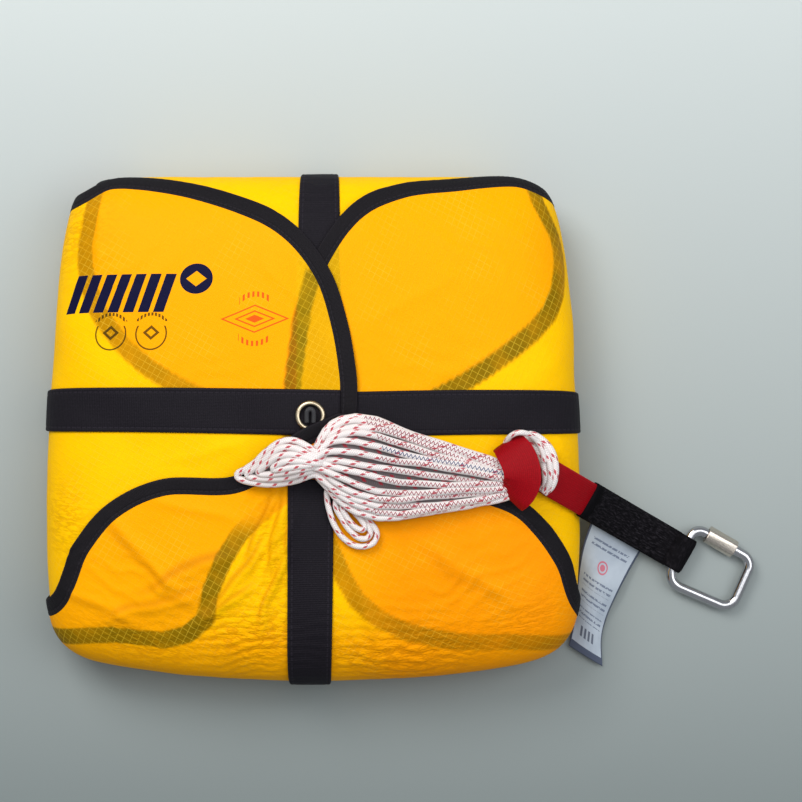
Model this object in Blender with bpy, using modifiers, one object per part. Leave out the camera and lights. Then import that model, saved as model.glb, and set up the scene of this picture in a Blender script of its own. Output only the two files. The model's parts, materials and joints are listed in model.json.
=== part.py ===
"""Packed reserve parachute in its four-flap cloth container, with its line hank, bridle and quick link.

The pack lies flat on its base. X runs across it, +Y runs to the top flap, +Z is up, and the origin is
the middle of the base. Lengths are in metres. Everything on the pack is laid out in flat "pattern"
coordinates (u, v), which wrap() lays over the crown, round the shoulders and down the sides.
"""

import math

import bmesh
import bpy
import numpy as np
from mathutils import Matrix, Vector

MM = 0.001

# The filled pack
HALF_WIDTH = 155 * MM
HALF_LENGTH = 146.5 * MM
MEAN_HALF = 150 * MM
WAIST = 30 * MM          # height of the widest line
SHOULDER = 28 * MM       # rise from the waist to the flat top
CROWN = 8 * MM           # extra height in the middle
BASE_SHARE = 0.9         # flat base, as a share of the outline
SQUARENESS = 13          # exponent of the outline
CONTENT_INSET = 1.9 * MM

# Cloth, tapes and bindings
CLOTH = 1.0 * MM
BINDING_THICK = 1.3 * MM
BINDING_WIDTH = 10 * MM
TAPE_THICK = 1.0 * MM
TAPE_WIDTH = 26 * MM
PLY_GAP = 0.45 * MM
SEAM_GAP = 0.3 * MM
FLAP_LIFT = BINDING_THICK + PLY_GAP
TAPE_LIFT = TAPE_THICK + PLY_GAP
LIFT_MARGIN = 12 * MM
LIFT_RAMP = 26 * MM
SHOULDER_EASE = 0.55        # extra room between plies where they go over the pack's shoulders
EYELET_LIFT = 2.1 * MM
CORNER_ROOM = 2.2 * MM      # extra room under the top flap of the stack at the pack's corners

# Lines, bridle and link
LINE = 4 * MM
WEBBING_WIDTH = 21 * MM
WEBBING_THICK = 4.2 * MM
SLEEVE_WIDTH = 22.5 * MM
BAR = 6 * MM
NUT_LENGTH = 19 * MM
NUT_FLATS = 10 * MM
FIT = 0.5 * MM
LINK_PLACE = (219.1 * MM, -74.9 * MM, 7.0 * MM)
LINK_TURN = math.radians(-29.9)
LINK_DIP = math.radians(1.9)

COLLECTION = "packed_parachute"

COLOURS = {
    # name: (red, green, blue, roughness, metallic)
    "cloth": (1.0, 0.62, 0.01, 0.5, 0.0),
    "binding": (0.02, 0.018, 0.022, 0.75, 0.0),
    "tape": (0.022, 0.02, 0.026, 0.8, 0.0),
    "line": (0.86, 0.82, 0.8, 0.7, 0.0),
    "bridle": (0.4, 0.004, 0.02, 0.6, 0.0),
    "sleeve": (0.012, 0.011, 0.013, 0.9, 0.0),
    "label": (0.5, 0.55, 0.62, 0.45, 0.0),
    "eyelet": (0.62, 0.56, 0.46, 0.3, 1.0),
    "elastic": (0.03, 0.03, 0.035, 0.8, 0.0),
    "steel": (0.6, 0.6, 0.62, 0.15, 1.0),
}

# Soft unevenness of the filled pack: humps and hollows, lengths in millimetres
SWELLS = [
    # u, v, radius, height
    (-85, 75, 55, 1.6),
    (85, 80, 50, 1.4),
    (-80, -75, 50, 1.8),
    (80, -80, 52, 1.5),
    (-120, 20, 28, -1.2),
    (30, -120, 26, -1.0),
    (125, 30, 30, 0.9),
]

# Flap outlines in pattern coordinates, in millimetres, from the base seam to the tip.
# "left" and "right" are the two bound edges, named as seen on the page with +Y up or +X up.
FLAPS = {
    "flap_top": {
        "first": [(-165, 182), (-150, 153), (-144, 128), (-144, 100), (-132, 67), (-101, 34), (-60, 12),
                  (-18, -3)],
        "second": [(165, 182), (154, 153), (150, 134), (160, 108), (150, 70), (118, 40), (70, 12),
                   (22, -3)],
        "sag": 0,
    },
    "flap_right": {
        "first": [(191, 167), (160, 148), (132, 151), (94, 147), (56, 142), (26, 128), (5, 104),
                  (-8, 74), (-15, 27)],
        "second": [(191, -167), (158, -150), (123, -137), (83, -130), (48, -119), (23, -101),
                   (8, -72), (-6, -36), (-15, -14)],
        "sag": 0,
    },
    "flap_left": {
        "first": [(-191, 167), (-156, 142), (-130, 149), (-85, 144), (-37, 130.5), (-8, 114),
                  (12, 90), (22, 61), (26.7, 32), (27, 14)],
        "second": [(-191, -167), (-158, -146), (-118, -131), (-82, -129), (-58, -115), (-51, -90),
                   (-36, -62), (-8, -38), (24, -15)],
        "sag": 0,
    },
    "flap_bottom": {
        "first": [(-189, -134), (-153, -110), (-136, -72), (-115, -44.5), (-85, -29), (-46, -27),
                  (-26, -16), (-8, -1.5), (16, 9.5)],
        "second": [(189, -143), (162, -114), (150, -84), (135, -59), (118, -42), (88, -29), (64, -16),
                   (44, 5)],
        "sag": -43,
    },
}
ROWS = 22
COLUMNS = {"flap_top": 8, "flap_right": 9, "flap_left": 9, "flap_bottom": 16}

# Tapes along the middle of the flaps: start and end of the centre line in pattern millimetres
TAPES = {
    "tape_top": [(4.4, 184), (5, 110), (5, 16)],
    "tape_right": [(193, 10), (90, 10), (0, 8)],
    "tape_left": [(-193, 11.4), (-93, 11.4), (14.5, 9.6)],
    "tape_bottom": [(-2.5, -184), (-0.5, -97), (0.3, -28)],
}
TAPE_ROWS = 26
LAYERS = ["top", "right", "left", "bottom"]      # from the lowest flap to the highest

EYELET_PLACE = (0.2 * MM, 8 * MM)

# Hank of lines lying on the pack, from the tail's tip to the bridle: pattern millimetres
HANK = [
    # u, upper edge v, lower edge v, height
    (-43.5, -22.5, -26.5, 4.0),
    (-37, -19, -28.5, 6.5),
    (-29, -15.5, -29.5, 9.0),
    (-21, -8, -31.5, 11.0),
    (-11, -5, -31.5, 12.0),
    (-3, -8.5, -28, 12.5),
    (3.5, -11, -28, 13.5),
    (9, -2, -34.5, 14.5),
    (16, 5.5, -41, 15.0),
    (26, 8.5, -46.5, 15.5),
    (38, 7, -52.5, 15.5),
    (50, 3, -52.5, 15.0),
    (63, -2, -51, 14.5),
    (76, -6, -50.5, 14.0),
    (88, -10.5, -49.5, 13.0),
    (99, -15.5, -48, 12.0),
    (107, -20.5, -44.5, 11.0),
    (111.5, -23.5, -41.5, 10.0),
    (116, -26.0, -37.5, 8.5),
]
HANK_SIDES = 24
HANK_LOBES = 6

# Two slack bights of line hanging out of the hank's lower side
BIGHTS = {
    "line_bight_outer": [(8.5, -38.6), (10.5, -46), (13.5, -54), (17.5, -61), (22, -65.5), (27.5, -67.5),
                         (33, -67), (37.8, -64.6), (38.9, -60.5), (37.4, -57)],
    "line_bight_inner": [(14.2, -43.5), (18.2, -50.2), (22.4, -56.4), (27, -61.2), (30.6, -61.8),
                         (31.3, -58.9), (28.6, -54.4), (25.6, -50.6)],
}

# Red loop of the hitch, arched over the hank's end
HITCH_PLACE = (118.2 * MM, -23.7 * MM)
HITCH_TURN = math.radians(19)
SKIN_STRETCH = 1.03         # pattern distance for each unit in plan near the pack's right edge
HITCH_ARCH = [
    # along, height over the pack
    (-17.5, 3.0), (-17.3, 7.0), (-15.5, 11.0), (-12.0, 14.4), (-6.5, 16.8), (0, 17.6), (6.5, 16.8),
    (11.5, 14.4), (14.8, 11.2), (16.6, 8.4), (17.0, 6.2),
]

# Line loops caught over the strap beside the hitch
LOOP_CRESCENT = [
    # x, y, z, half width
    (126.5, -5.5, 66.6, 2.0),
    (131.0, -9.0, 67.2, 3.2),
    (134.5, -14.0, 67.8, 3.8),
    (136.3, -20.0, 68.0, 3.8),
    (136.8, -26.0, 67.8, 3.2),
    (136.4, -31.0, 67.6, 2.0),
]

# Bridle path: distance back from the link's bar along the strap, and height of its middle
BRIDLE = [
    # back, height
    (93.6, 62.5),
    (89.5, 61.2),
    (84.0, 57.6),
    (77.0, 52.6),
    (69.5, 45.6),
    (62.0, 38.4),
    (54.0, 31.2),
    (45.0, 24.0),
    (36.0, 17.8),
    (27.0, 12.8),
    (18.0, 9.2),
    (10.0, 7.2),
    (5.9, 6.5),
]
SLEEVE_START = 5

# Side label: near edge (by the pack) and far edge of each station, in millimetres
LABEL = [
    # near x, near y, near z, far x, far y, far z, curl
    (163.2, -54.2, 28.9, 195.6, -72.8, 3.6, -1.0),
    (159.5, -68.0, 20.5, 188.0, -85.5, 5.2, 0.5),
    (158.0, -81.0, 13.5, 181.0, -98.5, 6.0, 4.0),
    (157.0, -97.0, 7.5, 174.6, -113.5, 4.5, 4.5),
    (156.0, -113.5, 4.5, 171.6, -127.0, 3.4, 4.0),
    (152.5, -130.5, 3.0, 172.3, -142.9, 2.6, 2.5),
]
LABEL_COLUMNS = 6

# Link outline in its own plane: corners of the bar's centre line and their bend radii, millimetres
LINK_CORNERS = [
    # along, across, radius
    (39.5, 18.0, 7.5),
    (43.0, -14.0, 8.0),
    (0.0, -19.0, 8.5),
    (0.0, 18.0, 6.0),
]
GAP_START = 8.8
GAP_END = 12.4
NUT_START = 7.8


def side_profile():
    """Half section of the pack: distance along the skin, radius and height, from crown to base."""
    top = 1 - (1 - np.linspace(0, 1, 400)) ** 2
    low = 1 - (1 - BASE_SHARE) * np.linspace(0, 1, 160)[1:] ** 2
    z_top = WAIST + SHOULDER * np.sqrt(1 - top ** 7)
    full = math.sqrt(1 - BASE_SHARE ** 6)
    z_low = WAIST * (1 - np.sqrt(np.clip(1 - low ** 6, 0, 1)) / full)
    radius = np.concatenate([top, low]) * MEAN_HALF
    height = np.concatenate([z_top, z_low])
    reach = np.concatenate([[0], np.cumsum(np.hypot(np.diff(radius), np.diff(height)))])
    return reach, radius, height


REACH, RADIUS, HEIGHT = side_profile()
FULL_REACH = REACH[-1]


def reach_of(u, v):
    """Squared-off distance from the crown, in pattern coordinates."""
    total = np.abs(u / HALF_WIDTH) ** SQUARENESS + np.abs(v / HALF_LENGTH) ** SQUARENESS
    return np.maximum(total ** (1 / SQUARENESS) * MEAN_HALF, 1e-6)


def wrap(u, v):
    """Points of the pack's skin at pattern coordinates u, v."""
    u = np.asarray(u, float)
    v = np.asarray(v, float)
    reach = reach_of(u, v)
    pull = np.interp(reach, REACH, RADIUS) / reach
    x = u * pull
    y = v * pull
    z = np.interp(reach, REACH, HEIGHT)
    inner = np.clip(1 - (x / HALF_WIDTH) ** 2, 0, 1) * np.clip(1 - (y / HALF_LENGTH) ** 2, 0, 1)
    swell = np.zeros_like(z)
    for su, sv, radius, height in SWELLS:
        away = ((u - su * MM) ** 2 + (v - sv * MM) ** 2) / (radius * MM) ** 2
        swell = swell + height * MM * np.exp(-away)
    z = z + CROWN * inner + swell * np.sqrt(np.clip(inner, 0, 1))
    taper = 1 - 2.74 * (y + 55 * MM) ** 2
    bow = 0.06 - 0.06 * np.tanh(y / (40 * MM))
    return np.stack([x * taper, y * (1 - bow * (x / HALF_WIDTH) ** 2), z], -1)


def skin(u, v, lift):
    """Points lifted off the skin along its outward normal."""
    step = 0.5 * MM
    across = wrap(u + step, v) - wrap(u - step, v)
    along = wrap(u, v + step) - wrap(u, v - step)
    normal = np.cross(across, along)
    normal = normal / np.linalg.norm(normal, axis=-1, keepdims=True)
    return wrap(u, v) + normal * np.asarray(lift)[..., None]


def smooth_path(points, count, close_start=False):
    """Catmull-Rom curve through points, resampled evenly or with closer steps over the shoulder."""
    knots = np.array(points, float)
    ends = np.vstack([2 * knots[0] - knots[1], knots, 2 * knots[-1] - knots[-2]])
    fine = []
    for i in range(len(knots) - 1):
        a, b, c, d = ends[i:i + 4]
        for t in np.linspace(0, 1, 24, endpoint=False):
            fine.append(0.5 * (2 * b + (c - a) * t + (2 * a - 5 * b + 4 * c - d) * t ** 2
                               + (3 * b - a - 3 * c + d) * t ** 3))
    fine.append(knots[-1])
    fine = np.array(fine)
    steps = np.concatenate([[0], np.cumsum(np.linalg.norm(np.diff(fine, axis=0), axis=1))])
    share = np.linspace(0, 1, count)
    if close_start:
        share = share - 0.16 * np.sin(math.pi * share) ** 2 * (1.25 - share)
    return np.stack([np.interp(share * steps[-1], steps, fine[:, k]) for k in range(fine.shape[1])], -1)


def flap_edges(name):
    """Outer edge curves of a flap and the same curves moved in by the binding's width."""
    first = smooth_path(FLAPS[name]["first"], ROWS, True) * MM
    second = smooth_path(FLAPS[name]["second"], ROWS, True) * MM
    rim = np.vstack([first, second[::-1]])
    middle = rim.mean(0)
    ahead = np.vstack([rim[1:], rim[-1:]]) - rim
    ahead[-1] = ahead[-2]
    behind = np.vstack([ahead[:1], ahead[:-1]])
    normals = []
    for before, after in zip(behind, ahead):
        one = np.array([-before[1], before[0]]) / np.linalg.norm(before)
        two = np.array([-after[1], after[0]]) / np.linalg.norm(after)
        normal = one + two
        normals.append(normal / np.linalg.norm(normal) / max(math.sqrt((1 + one @ two) / 2), 0.6))
    normals = np.array(normals)
    if np.sum(normals * (middle - rim)) < 0:
        normals = -normals
    inset = rim + normals * BINDING_WIDTH
    gap = rim + normals * (BINDING_WIDTH + SEAM_GAP)
    return rim, inset, gap


def depth_inside(outline, u, v):
    """Distance into a closed outline, negative outside it."""
    shape = np.broadcast(u, v).shape
    points = np.stack([np.broadcast_to(u, shape).ravel(), np.broadcast_to(v, shape).ravel()], -1)
    nearest = np.full(len(points), 1e9)
    inside = np.zeros(len(points), bool)
    for a, b in zip(outline, np.roll(outline, -1, axis=0)):
        side = b - a
        share = np.clip(((points - a) @ side) / max(side @ side, 1e-12), 0, 1)
        nearest = np.minimum(nearest, np.linalg.norm(points - a - share[:, None] * side, axis=1))
        if a[1] != b[1]:
            crossing = (a[1] > points[:, 1]) != (b[1] > points[:, 1])
            at = a[0] + (points[:, 1] - a[1]) / (b[1] - a[1]) * side[0]
            inside ^= crossing & (points[:, 0] < at)
    return np.where(inside, nearest, -nearest).reshape(shape)


def rise(depth):
    """1 well inside an outline, falling to 0 outside it."""
    return rise_between(depth, -LIFT_MARGIN - LIFT_RAMP, -LIFT_MARGIN)


def rise_between(value, low, high):
    """Smooth step from 0 at low to 1 at high."""
    share = np.clip((value - low) / (high - low), 0, 1)
    return share * share * (3 - 2 * share)


def shoulder_ease(u, v):
    """Growth of the room between plies from the flat top to the shoulders and sides."""
    return 1 + SHOULDER_EASE * np.clip((reach_of(u, v) - 85 * MM) / (40 * MM), 0, 1)


def tape_outline(name):
    """Closed outline of a tape in pattern coordinates."""
    line = smooth_path(TAPES[name], 8) * MM
    return np.vstack([strip_side(line, TAPE_WIDTH / 2), strip_side(line, -TAPE_WIDTH / 2)[::-1]])


def strip_side(line, offset):
    """A line moved sideways in its own plane."""
    along = np.gradient(line, axis=0)
    side = np.stack([-along[:, 1], along[:, 0]], -1)
    return line + side / np.linalg.norm(side, axis=1, keepdims=True) * offset


OUTLINES = {name: flap_edges(name)[0] for name in FLAPS}
OUTLINES.update({name: tape_outline(name) for name in TAPES})
EYELET_RADIUS = 8.6 * MM


def stack_height(u, v, below):
    """Height over the skin of the underside of the layer that lies on the layers below it."""
    height = np.full(np.broadcast(u, v).shape, PLY_GAP)
    for layer in LAYERS[:below]:
        height = height + FLAP_LIFT * rise(depth_inside(OUTLINES["flap_" + layer], u, v))
        height = height + TAPE_LIFT * rise(depth_inside(OUTLINES["tape_" + layer], u, v))
    if below > 2:
        from_eyelet = np.hypot(u - EYELET_PLACE[0], v - EYELET_PLACE[1])
        height = height + EYELET_LIFT * rise(EYELET_RADIUS - from_eyelet)
    if below == 3:
        corner = np.minimum(abs(u) / HALF_WIDTH, abs(v) / HALF_LENGTH)
        height = height + CORNER_ROOM * rise_between(corner, 0.6, 0.85)
    return height * shoulder_ease(u, v)


def pack_top(u, v):
    """Height over the skin of everything sewn to the pack."""
    return stack_height(u, v, len(LAYERS))


def fresh_scene():
    """Empties the scene and makes the part's collection."""
    for old in list(bpy.data.objects):
        bpy.data.objects.remove(old, do_unlink=True)
    collection = bpy.data.collections.new(COLLECTION)
    bpy.context.scene.collection.children.link(collection)
    return collection


def material(name):
    """Principled material of one finish, made once."""
    found = bpy.data.materials.get(name)
    if found:
        return found
    red, green, blue, roughness, metallic = COLOURS[name]
    made = bpy.data.materials.new(name)
    made.use_nodes = True
    shader = made.node_tree.nodes["Principled BSDF"]
    shader.inputs["Base Color"].default_value = (red, green, blue, 1)
    shader.inputs["Roughness"].default_value = roughness
    shader.inputs["Metallic"].default_value = metallic
    return made


def add_object(name, data, finish, collection):
    """Links a named object with its material."""
    made = bpy.data.objects.new(name, data)
    data.materials.append(material(finish))
    collection.objects.link(made)
    return made


def grid_mesh(name, points):
    """Open mesh over a grid of points, rows by columns."""
    rows, columns = points.shape[:2]
    mesh = bpy.data.meshes.new(name)
    faces = [(r * columns + c, r * columns + c + 1, (r + 1) * columns + c + 1, (r + 1) * columns + c)
             for r in range(rows - 1) for c in range(columns - 1)]
    mesh.from_pydata([tuple(p) for p in points.reshape(-1, 3)], [], faces)
    return mesh


def sheet(name, points, thick, finish, collection):
    """Cloth over a grid of points, thickened outwards from the underside it is given."""
    made = add_object(name, grid_mesh(name, points), finish, collection)
    solidify = made.modifiers.new("thickness", "SOLIDIFY")
    solidify.thickness = thick
    solidify.offset = 1
    solidify.use_even_offset = False
    return made


def loft(name, rings, finish, collection):
    """Closed body through rings of points, with flat ends."""
    rings = np.array(rings)
    count, sides = rings.shape[:2]
    mesh = bpy.data.meshes.new(name)
    faces = [(r * sides + s, r * sides + (s + 1) % sides, (r + 1) * sides + (s + 1) % sides,
              (r + 1) * sides + s) for r in range(count - 1) for s in range(sides)]
    faces.append(tuple(range(sides))[::-1])
    faces.append(tuple((count - 1) * sides + s for s in range(sides)))
    mesh.from_pydata([tuple(p) for p in rings.reshape(-1, 3)], [], faces)
    made = bmesh.new()
    made.from_mesh(mesh)
    bmesh.ops.recalc_face_normals(made, faces=made.faces)
    made.to_mesh(mesh)
    made.free()
    return add_object(name, mesh, finish, collection)


def make_pack_body(collection):
    """The filled pack: a subdivided block pulled onto the pack's rounded form, flat underneath."""
    stations = [0, 0.3, 0.55, 0.68, 0.75, 0.81, 0.87, 0.93, 1]
    ladder = np.array([-s for s in stations[:0:-1]] + stations)
    made = bmesh.new()
    bmesh.ops.create_grid(made, x_segments=len(ladder) - 1, y_segments=len(ladder) - 1, size=1)
    across = sorted({round(vert.co.x, 5) for vert in made.verts})
    for vert in made.verts:
        p = ladder[across.index(round(vert.co.x, 5))]
        q = ladder[across.index(round(vert.co.y, 5))]
        ring = max(abs(p), abs(q))
        u = v = 0.0
        if ring:
            square = (abs(p) ** SQUARENESS + abs(q) ** SQUARENESS) ** (1 / SQUARENESS)
            scale = ring / square * FULL_REACH / MEAN_HALF
            u = p * HALF_WIDTH * scale
            v = q * HALF_LENGTH * scale
        place = skin(np.array(u), np.array(v), np.array(-CONTENT_INSET))
        place[2] = 0 if ring == 1 else max(place[2], 0.2 * MM)
        vert.co = place
    rim = [edge for edge in made.edges if edge.is_boundary]
    bmesh.ops.holes_fill(made, edges=rim, sides=0)
    bmesh.ops.recalc_face_normals(made, faces=made.faces)
    mesh = bpy.data.meshes.new("pack_body")
    made.to_mesh(mesh)
    made.free()
    return add_object("pack_body", mesh, "cloth", collection)


def make_flap(name, layer, collection):
    """One flap's cloth and the binding round its edge, lying on the layers below."""
    rim, inset, gap = flap_edges(name)
    even = np.linspace(0, 1, COLUMNS[name] + 1)
    across = 0.35 * even + 0.65 * (0.5 - 0.5 * np.cos(math.pi * even))
    first = gap[:ROWS, None]
    second = gap[:ROWS - 1:-1][:, None]
    net = first + (second - first) * across[None, :, None]
    fade = np.clip(1 - np.linspace(0, 1, ROWS) / 0.45, 0, 1) ** 2
    bulge = FLAPS[name]["sag"] * MM * fade[:, None] * (1 - np.abs(2 * across - 1) ** 6)[None, :]
    u = net[..., 0]
    v = net[..., 1] + bulge
    points = skin(u, v, stack_height(u, v, layer))
    sheet(name, points, CLOTH, "cloth", collection)
    band = np.stack([rim, inset], 1)
    points = skin(band[..., 0], band[..., 1], stack_height(band[..., 0], band[..., 1], layer))
    sheet(name.replace("flap", "binding"), points, BINDING_THICK, "binding", collection)


def make_tape(name, layer, collection):
    """Webbing sewn along the middle of a flap."""
    line = smooth_path(TAPES[name], TAPE_ROWS, True) * MM
    sides = np.stack([strip_side(line, offset * TAPE_WIDTH) for offset in (0.5, 0, -0.5)], 1)
    room = PLY_GAP * (1 + 0.5 * layer) * shoulder_ease(sides[..., 0], sides[..., 1]) ** 2
    lift = stack_height(sides[..., 0], sides[..., 1], layer) + CLOTH + room
    points = skin(sides[..., 0], sides[..., 1], lift)
    sheet(name, points, TAPE_THICK, "tape", collection)


def face_outwards(made):
    """Turns an open sheet's faces so that they look away from the middle of the pack."""
    mesh = made.data
    heart = Vector((0, 0, WAIST))
    votes = sum(face.normal.dot(face.center - heart) * face.area for face in mesh.polygons)
    if votes < 0:
        mesh.flip_normals()


def make_eyelet(collection):
    """Rolled metal eyelet on the left tape, with the closing elastic's folds inside it."""
    u, v = EYELET_PLACE
    lift = stack_height(np.array(u), np.array(v), 2) + CLOTH + TAPE_THICK + 2 * PLY_GAP
    place = skin(np.array(u), np.array(v), lift)
    profile = [(6.0, 0.0), (6.0, 1.1), (6.5, 1.7), (7.2, 1.9), (8.0, 1.6), (8.5, 0.9), (8.6, 0.0)]
    mesh = bpy.data.meshes.new("eyelet")
    ring = [(radius * MM, 0, height * MM) for radius, height in profile]
    edges = [(i, i + 1) for i in range(len(ring) - 1)] + [(len(ring) - 1, 0)]
    mesh.from_pydata(ring, edges, [])
    eyelet = add_object("eyelet", mesh, "eyelet", collection)
    eyelet.location = place
    screw = eyelet.modifiers.new("turn", "SCREW")
    screw.steps = 20
    screw.render_steps = 20
    screw.use_merge_vertices = True
    screw.merge_threshold = 0.00005
    curve = bpy.data.curves.new("closing_elastic", "CURVE")
    curve.dimensions = "3D"
    curve.bevel_depth = 1.3 * MM
    curve.bevel_resolution = 2
    curve.use_fill_caps = True
    spline = curve.splines.new("POLY")
    bend = [(-1.9, -3.6), (-1.9, 0), (-1.6, 2.6), (0, 3.7), (1.6, 2.6), (1.9, 0), (1.9, -3.6)]
    spline.points.add(len(bend) - 1)
    for point, (x, y) in zip(spline.points, bend):
        point.co = (x * MM, y * MM, 1.4 * MM, 1)
    elastic = add_object("closing_elastic", curve, "elastic", collection)
    elastic.location = place


def lobed(angle):
    """Radius share of the hank's outline: fuller where its bundles of line bulge."""
    return 1 + 0.035 * math.cos(HANK_LOBES * angle)


def make_hank(collection):
    """The wound hank: tail, pinched neck, and the spread body, with the form of its main bundles."""
    rings = []
    for u, upper, lower, height in HANK:
        middle = (upper + lower) / 2 * MM
        half = (upper - lower) / 2 * MM
        ring = []
        for side in range(HANK_SIDES):
            angle = 2 * math.pi * side / HANK_SIDES
            v = middle + half * lobed(angle) * math.cos(angle)
            level = math.sin(angle)
            share = 0.36 + 0.64 * level * lobed(angle) if level > 0 else 0.36 * (1 - abs(level) ** 0.6)
            lift = pack_top(np.array(u * MM), np.array(v)) + PLY_GAP + 0.3 * MM
            ring.append(skin(np.array(u * MM), np.array(v), lift + height * MM * max(share, 0)))
        rings.append(ring)
    loft("line_hank", rings, "line", collection)


def make_bight(name, collection):
    """A slack bight of line lying on the bottom flap."""
    path = smooth_path(BIGHTS[name], 22) * MM
    lift = pack_top(path[:, 0], path[:, 1]) + LINE / 2 + 0.3 * MM
    tube(name, skin(path[:, 0], path[:, 1], lift), LINE / 2, "line", collection)


def tube(name, points, radius, finish, collection):
    """Round line along points, as a bevelled curve with filled caps."""
    curve = bpy.data.curves.new(name, "CURVE")
    curve.dimensions = "3D"
    curve.bevel_depth = radius
    curve.bevel_resolution = 2
    curve.use_fill_caps = True
    spline = curve.splines.new("POLY")
    spline.points.add(len(points) - 1)
    for point, place in zip(spline.points, points):
        point.co = (*place, 1)
    return add_object(name, curve, finish, collection)


def strap_frame():
    """Unit vectors of the strap in plan: towards the link and across it."""
    ahead = np.array([math.cos(LINK_TURN), math.sin(LINK_TURN), 0])
    return ahead, np.array([-ahead[1], ahead[0], 0])


def band_ring(middle, across, up, width, thick):
    """Section of flat webbing with eased edges."""
    ease = min(thick * 0.35, 1.2 * MM)
    corners = [(-width / 2, -thick / 2 + ease), (-width / 2 + ease, -thick / 2),
               (width / 2 - ease, -thick / 2), (width / 2, -thick / 2 + ease),
               (width / 2, thick / 2 - ease), (width / 2 - ease, thick / 2),
               (-width / 2 + ease, thick / 2), (-width / 2, thick / 2 - ease)]
    return [middle + across * a + up * b for a, b in corners]


def bridle_stations():
    """Middle points of the bridle strap and the normals of its upper face."""
    ahead, across = strap_frame()
    place = np.array(LINK_PLACE)
    points = [np.array([*(place - ahead * back * MM)[:2], height * MM]) for back, height in BRIDLE]
    slopes = np.gradient(np.array(points), axis=0)
    ups = [np.cross(slope, across) / np.linalg.norm(slope) for slope in slopes]
    return points, ups, across


def make_bridle(collection):
    """Red strap leaving the hitch, and the black sleeve that covers it down to the link."""
    points, ups, across = bridle_stations()
    stop = SLEEVE_START + 1
    rings = [band_ring(p, across, up, WEBBING_WIDTH, WEBBING_THICK)
             for p, up in zip(points[:stop], ups[:stop])]
    rings[-1] = [corner - (points[stop] - points[stop - 1]) * 0.05 for corner in rings[-1]]
    loft("bridle_strap", rings, "bridle", collection)
    rings = []
    for index in range(SLEEVE_START, len(points)):
        grow = (index - SLEEVE_START) / (len(points) - 1 - SLEEVE_START)
        thick = (6.4 + 2.2 * grow) * MM
        rings.append(band_ring(points[index], across, ups[index], SLEEVE_WIDTH, thick))
    loft("bridle_sleeve", rings, "sleeve", collection)


def link_matrix():
    """Place of the link's own plane: its near bar is the Y axis."""
    turn = Matrix.Rotation(LINK_TURN, 4, "Z") @ Matrix.Rotation(LINK_DIP, 4, "Y")
    return Matrix.Translation(Vector(LINK_PLACE)) @ turn


def make_cuff(collection):
    """Folded end of the sleeve round the link's near bar."""
    outer = 5.7 * MM
    curve = bpy.data.curves.new("bridle_cuff", "CURVE")
    curve.dimensions = "2D"
    curve.fill_mode = "BOTH"
    curve.extrude = SLEEVE_WIDTH / 2 - 0.5 * MM
    bend = [(outer * math.cos(a), outer * math.sin(a)) for a in np.linspace(-math.pi / 2, math.pi / 2, 11)]
    shape = bend + [(-5.2 * MM, outer - 0.6 * MM), (-5.2 * MM, -outer + 0.6 * MM)]
    hole = [((BAR / 2 + FIT) * math.cos(a), (BAR / 2 + FIT) * math.sin(a))
            for a in np.linspace(0, 2 * math.pi, 17)[:-1]]
    for outline in (shape, hole):
        spline = curve.splines.new("POLY")
        spline.points.add(len(outline) - 1)
        spline.use_cyclic_u = True
        for point, (x, y) in zip(spline.points, outline):
            point.co = (x, y, 0, 1)
    cuff = add_object("bridle_cuff", curve, "sleeve", collection)
    cuff.matrix_world = link_matrix() @ Matrix.Rotation(math.pi / 2, 4, "X")


def rounded_path():
    """Centre line of the link's bar, from one side of its gap round to the other."""
    corners = [Vector((along, across)) for along, across, radius in LINK_CORNERS]
    path = [Vector((GAP_END, LINK_CORNERS[0][1]))]
    for index, corner in enumerate(corners):
        before = (corners[index - 1] - corner).normalized()
        after = (corners[(index + 1) % len(corners)] - corner).normalized()
        half = before.angle(after) / 2
        radius = LINK_CORNERS[index][2]
        centre = corner + (before + after).normalized() * radius / math.sin(half)
        start = corner + before * radius / math.tan(half) - centre
        sweep = math.pi - 2 * half
        for step in range(7):
            turn = Matrix.Rotation(-sweep * step / 6, 2)
            path.append(centre + turn @ start)
    path.append(Vector((GAP_START, LINK_CORNERS[0][1])))
    return [(point.x * MM, point.y * MM, 0) for point in path]


def prism(name, sides, radius, length, chamfer):
    """Mesh of a prism from the origin along +X, its end edges chamfered."""
    made = bmesh.new()
    lay = Matrix.Rotation(math.pi / 2, 4, "Y") @ Matrix.Translation((0, 0, length / 2))
    bmesh.ops.create_cone(made, cap_ends=True, segments=sides, radius1=radius, radius2=radius, depth=length,
                          matrix=lay)
    if chamfer:
        ends = [edge for edge in made.edges if abs(edge.verts[0].co.x - edge.verts[1].co.x) < length / 2]
        bmesh.ops.bevel(made, geom=ends, offset=chamfer, segments=1, affect="EDGES")
    mesh = bpy.data.meshes.new(name)
    made.to_mesh(mesh)
    made.free()
    return mesh


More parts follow.
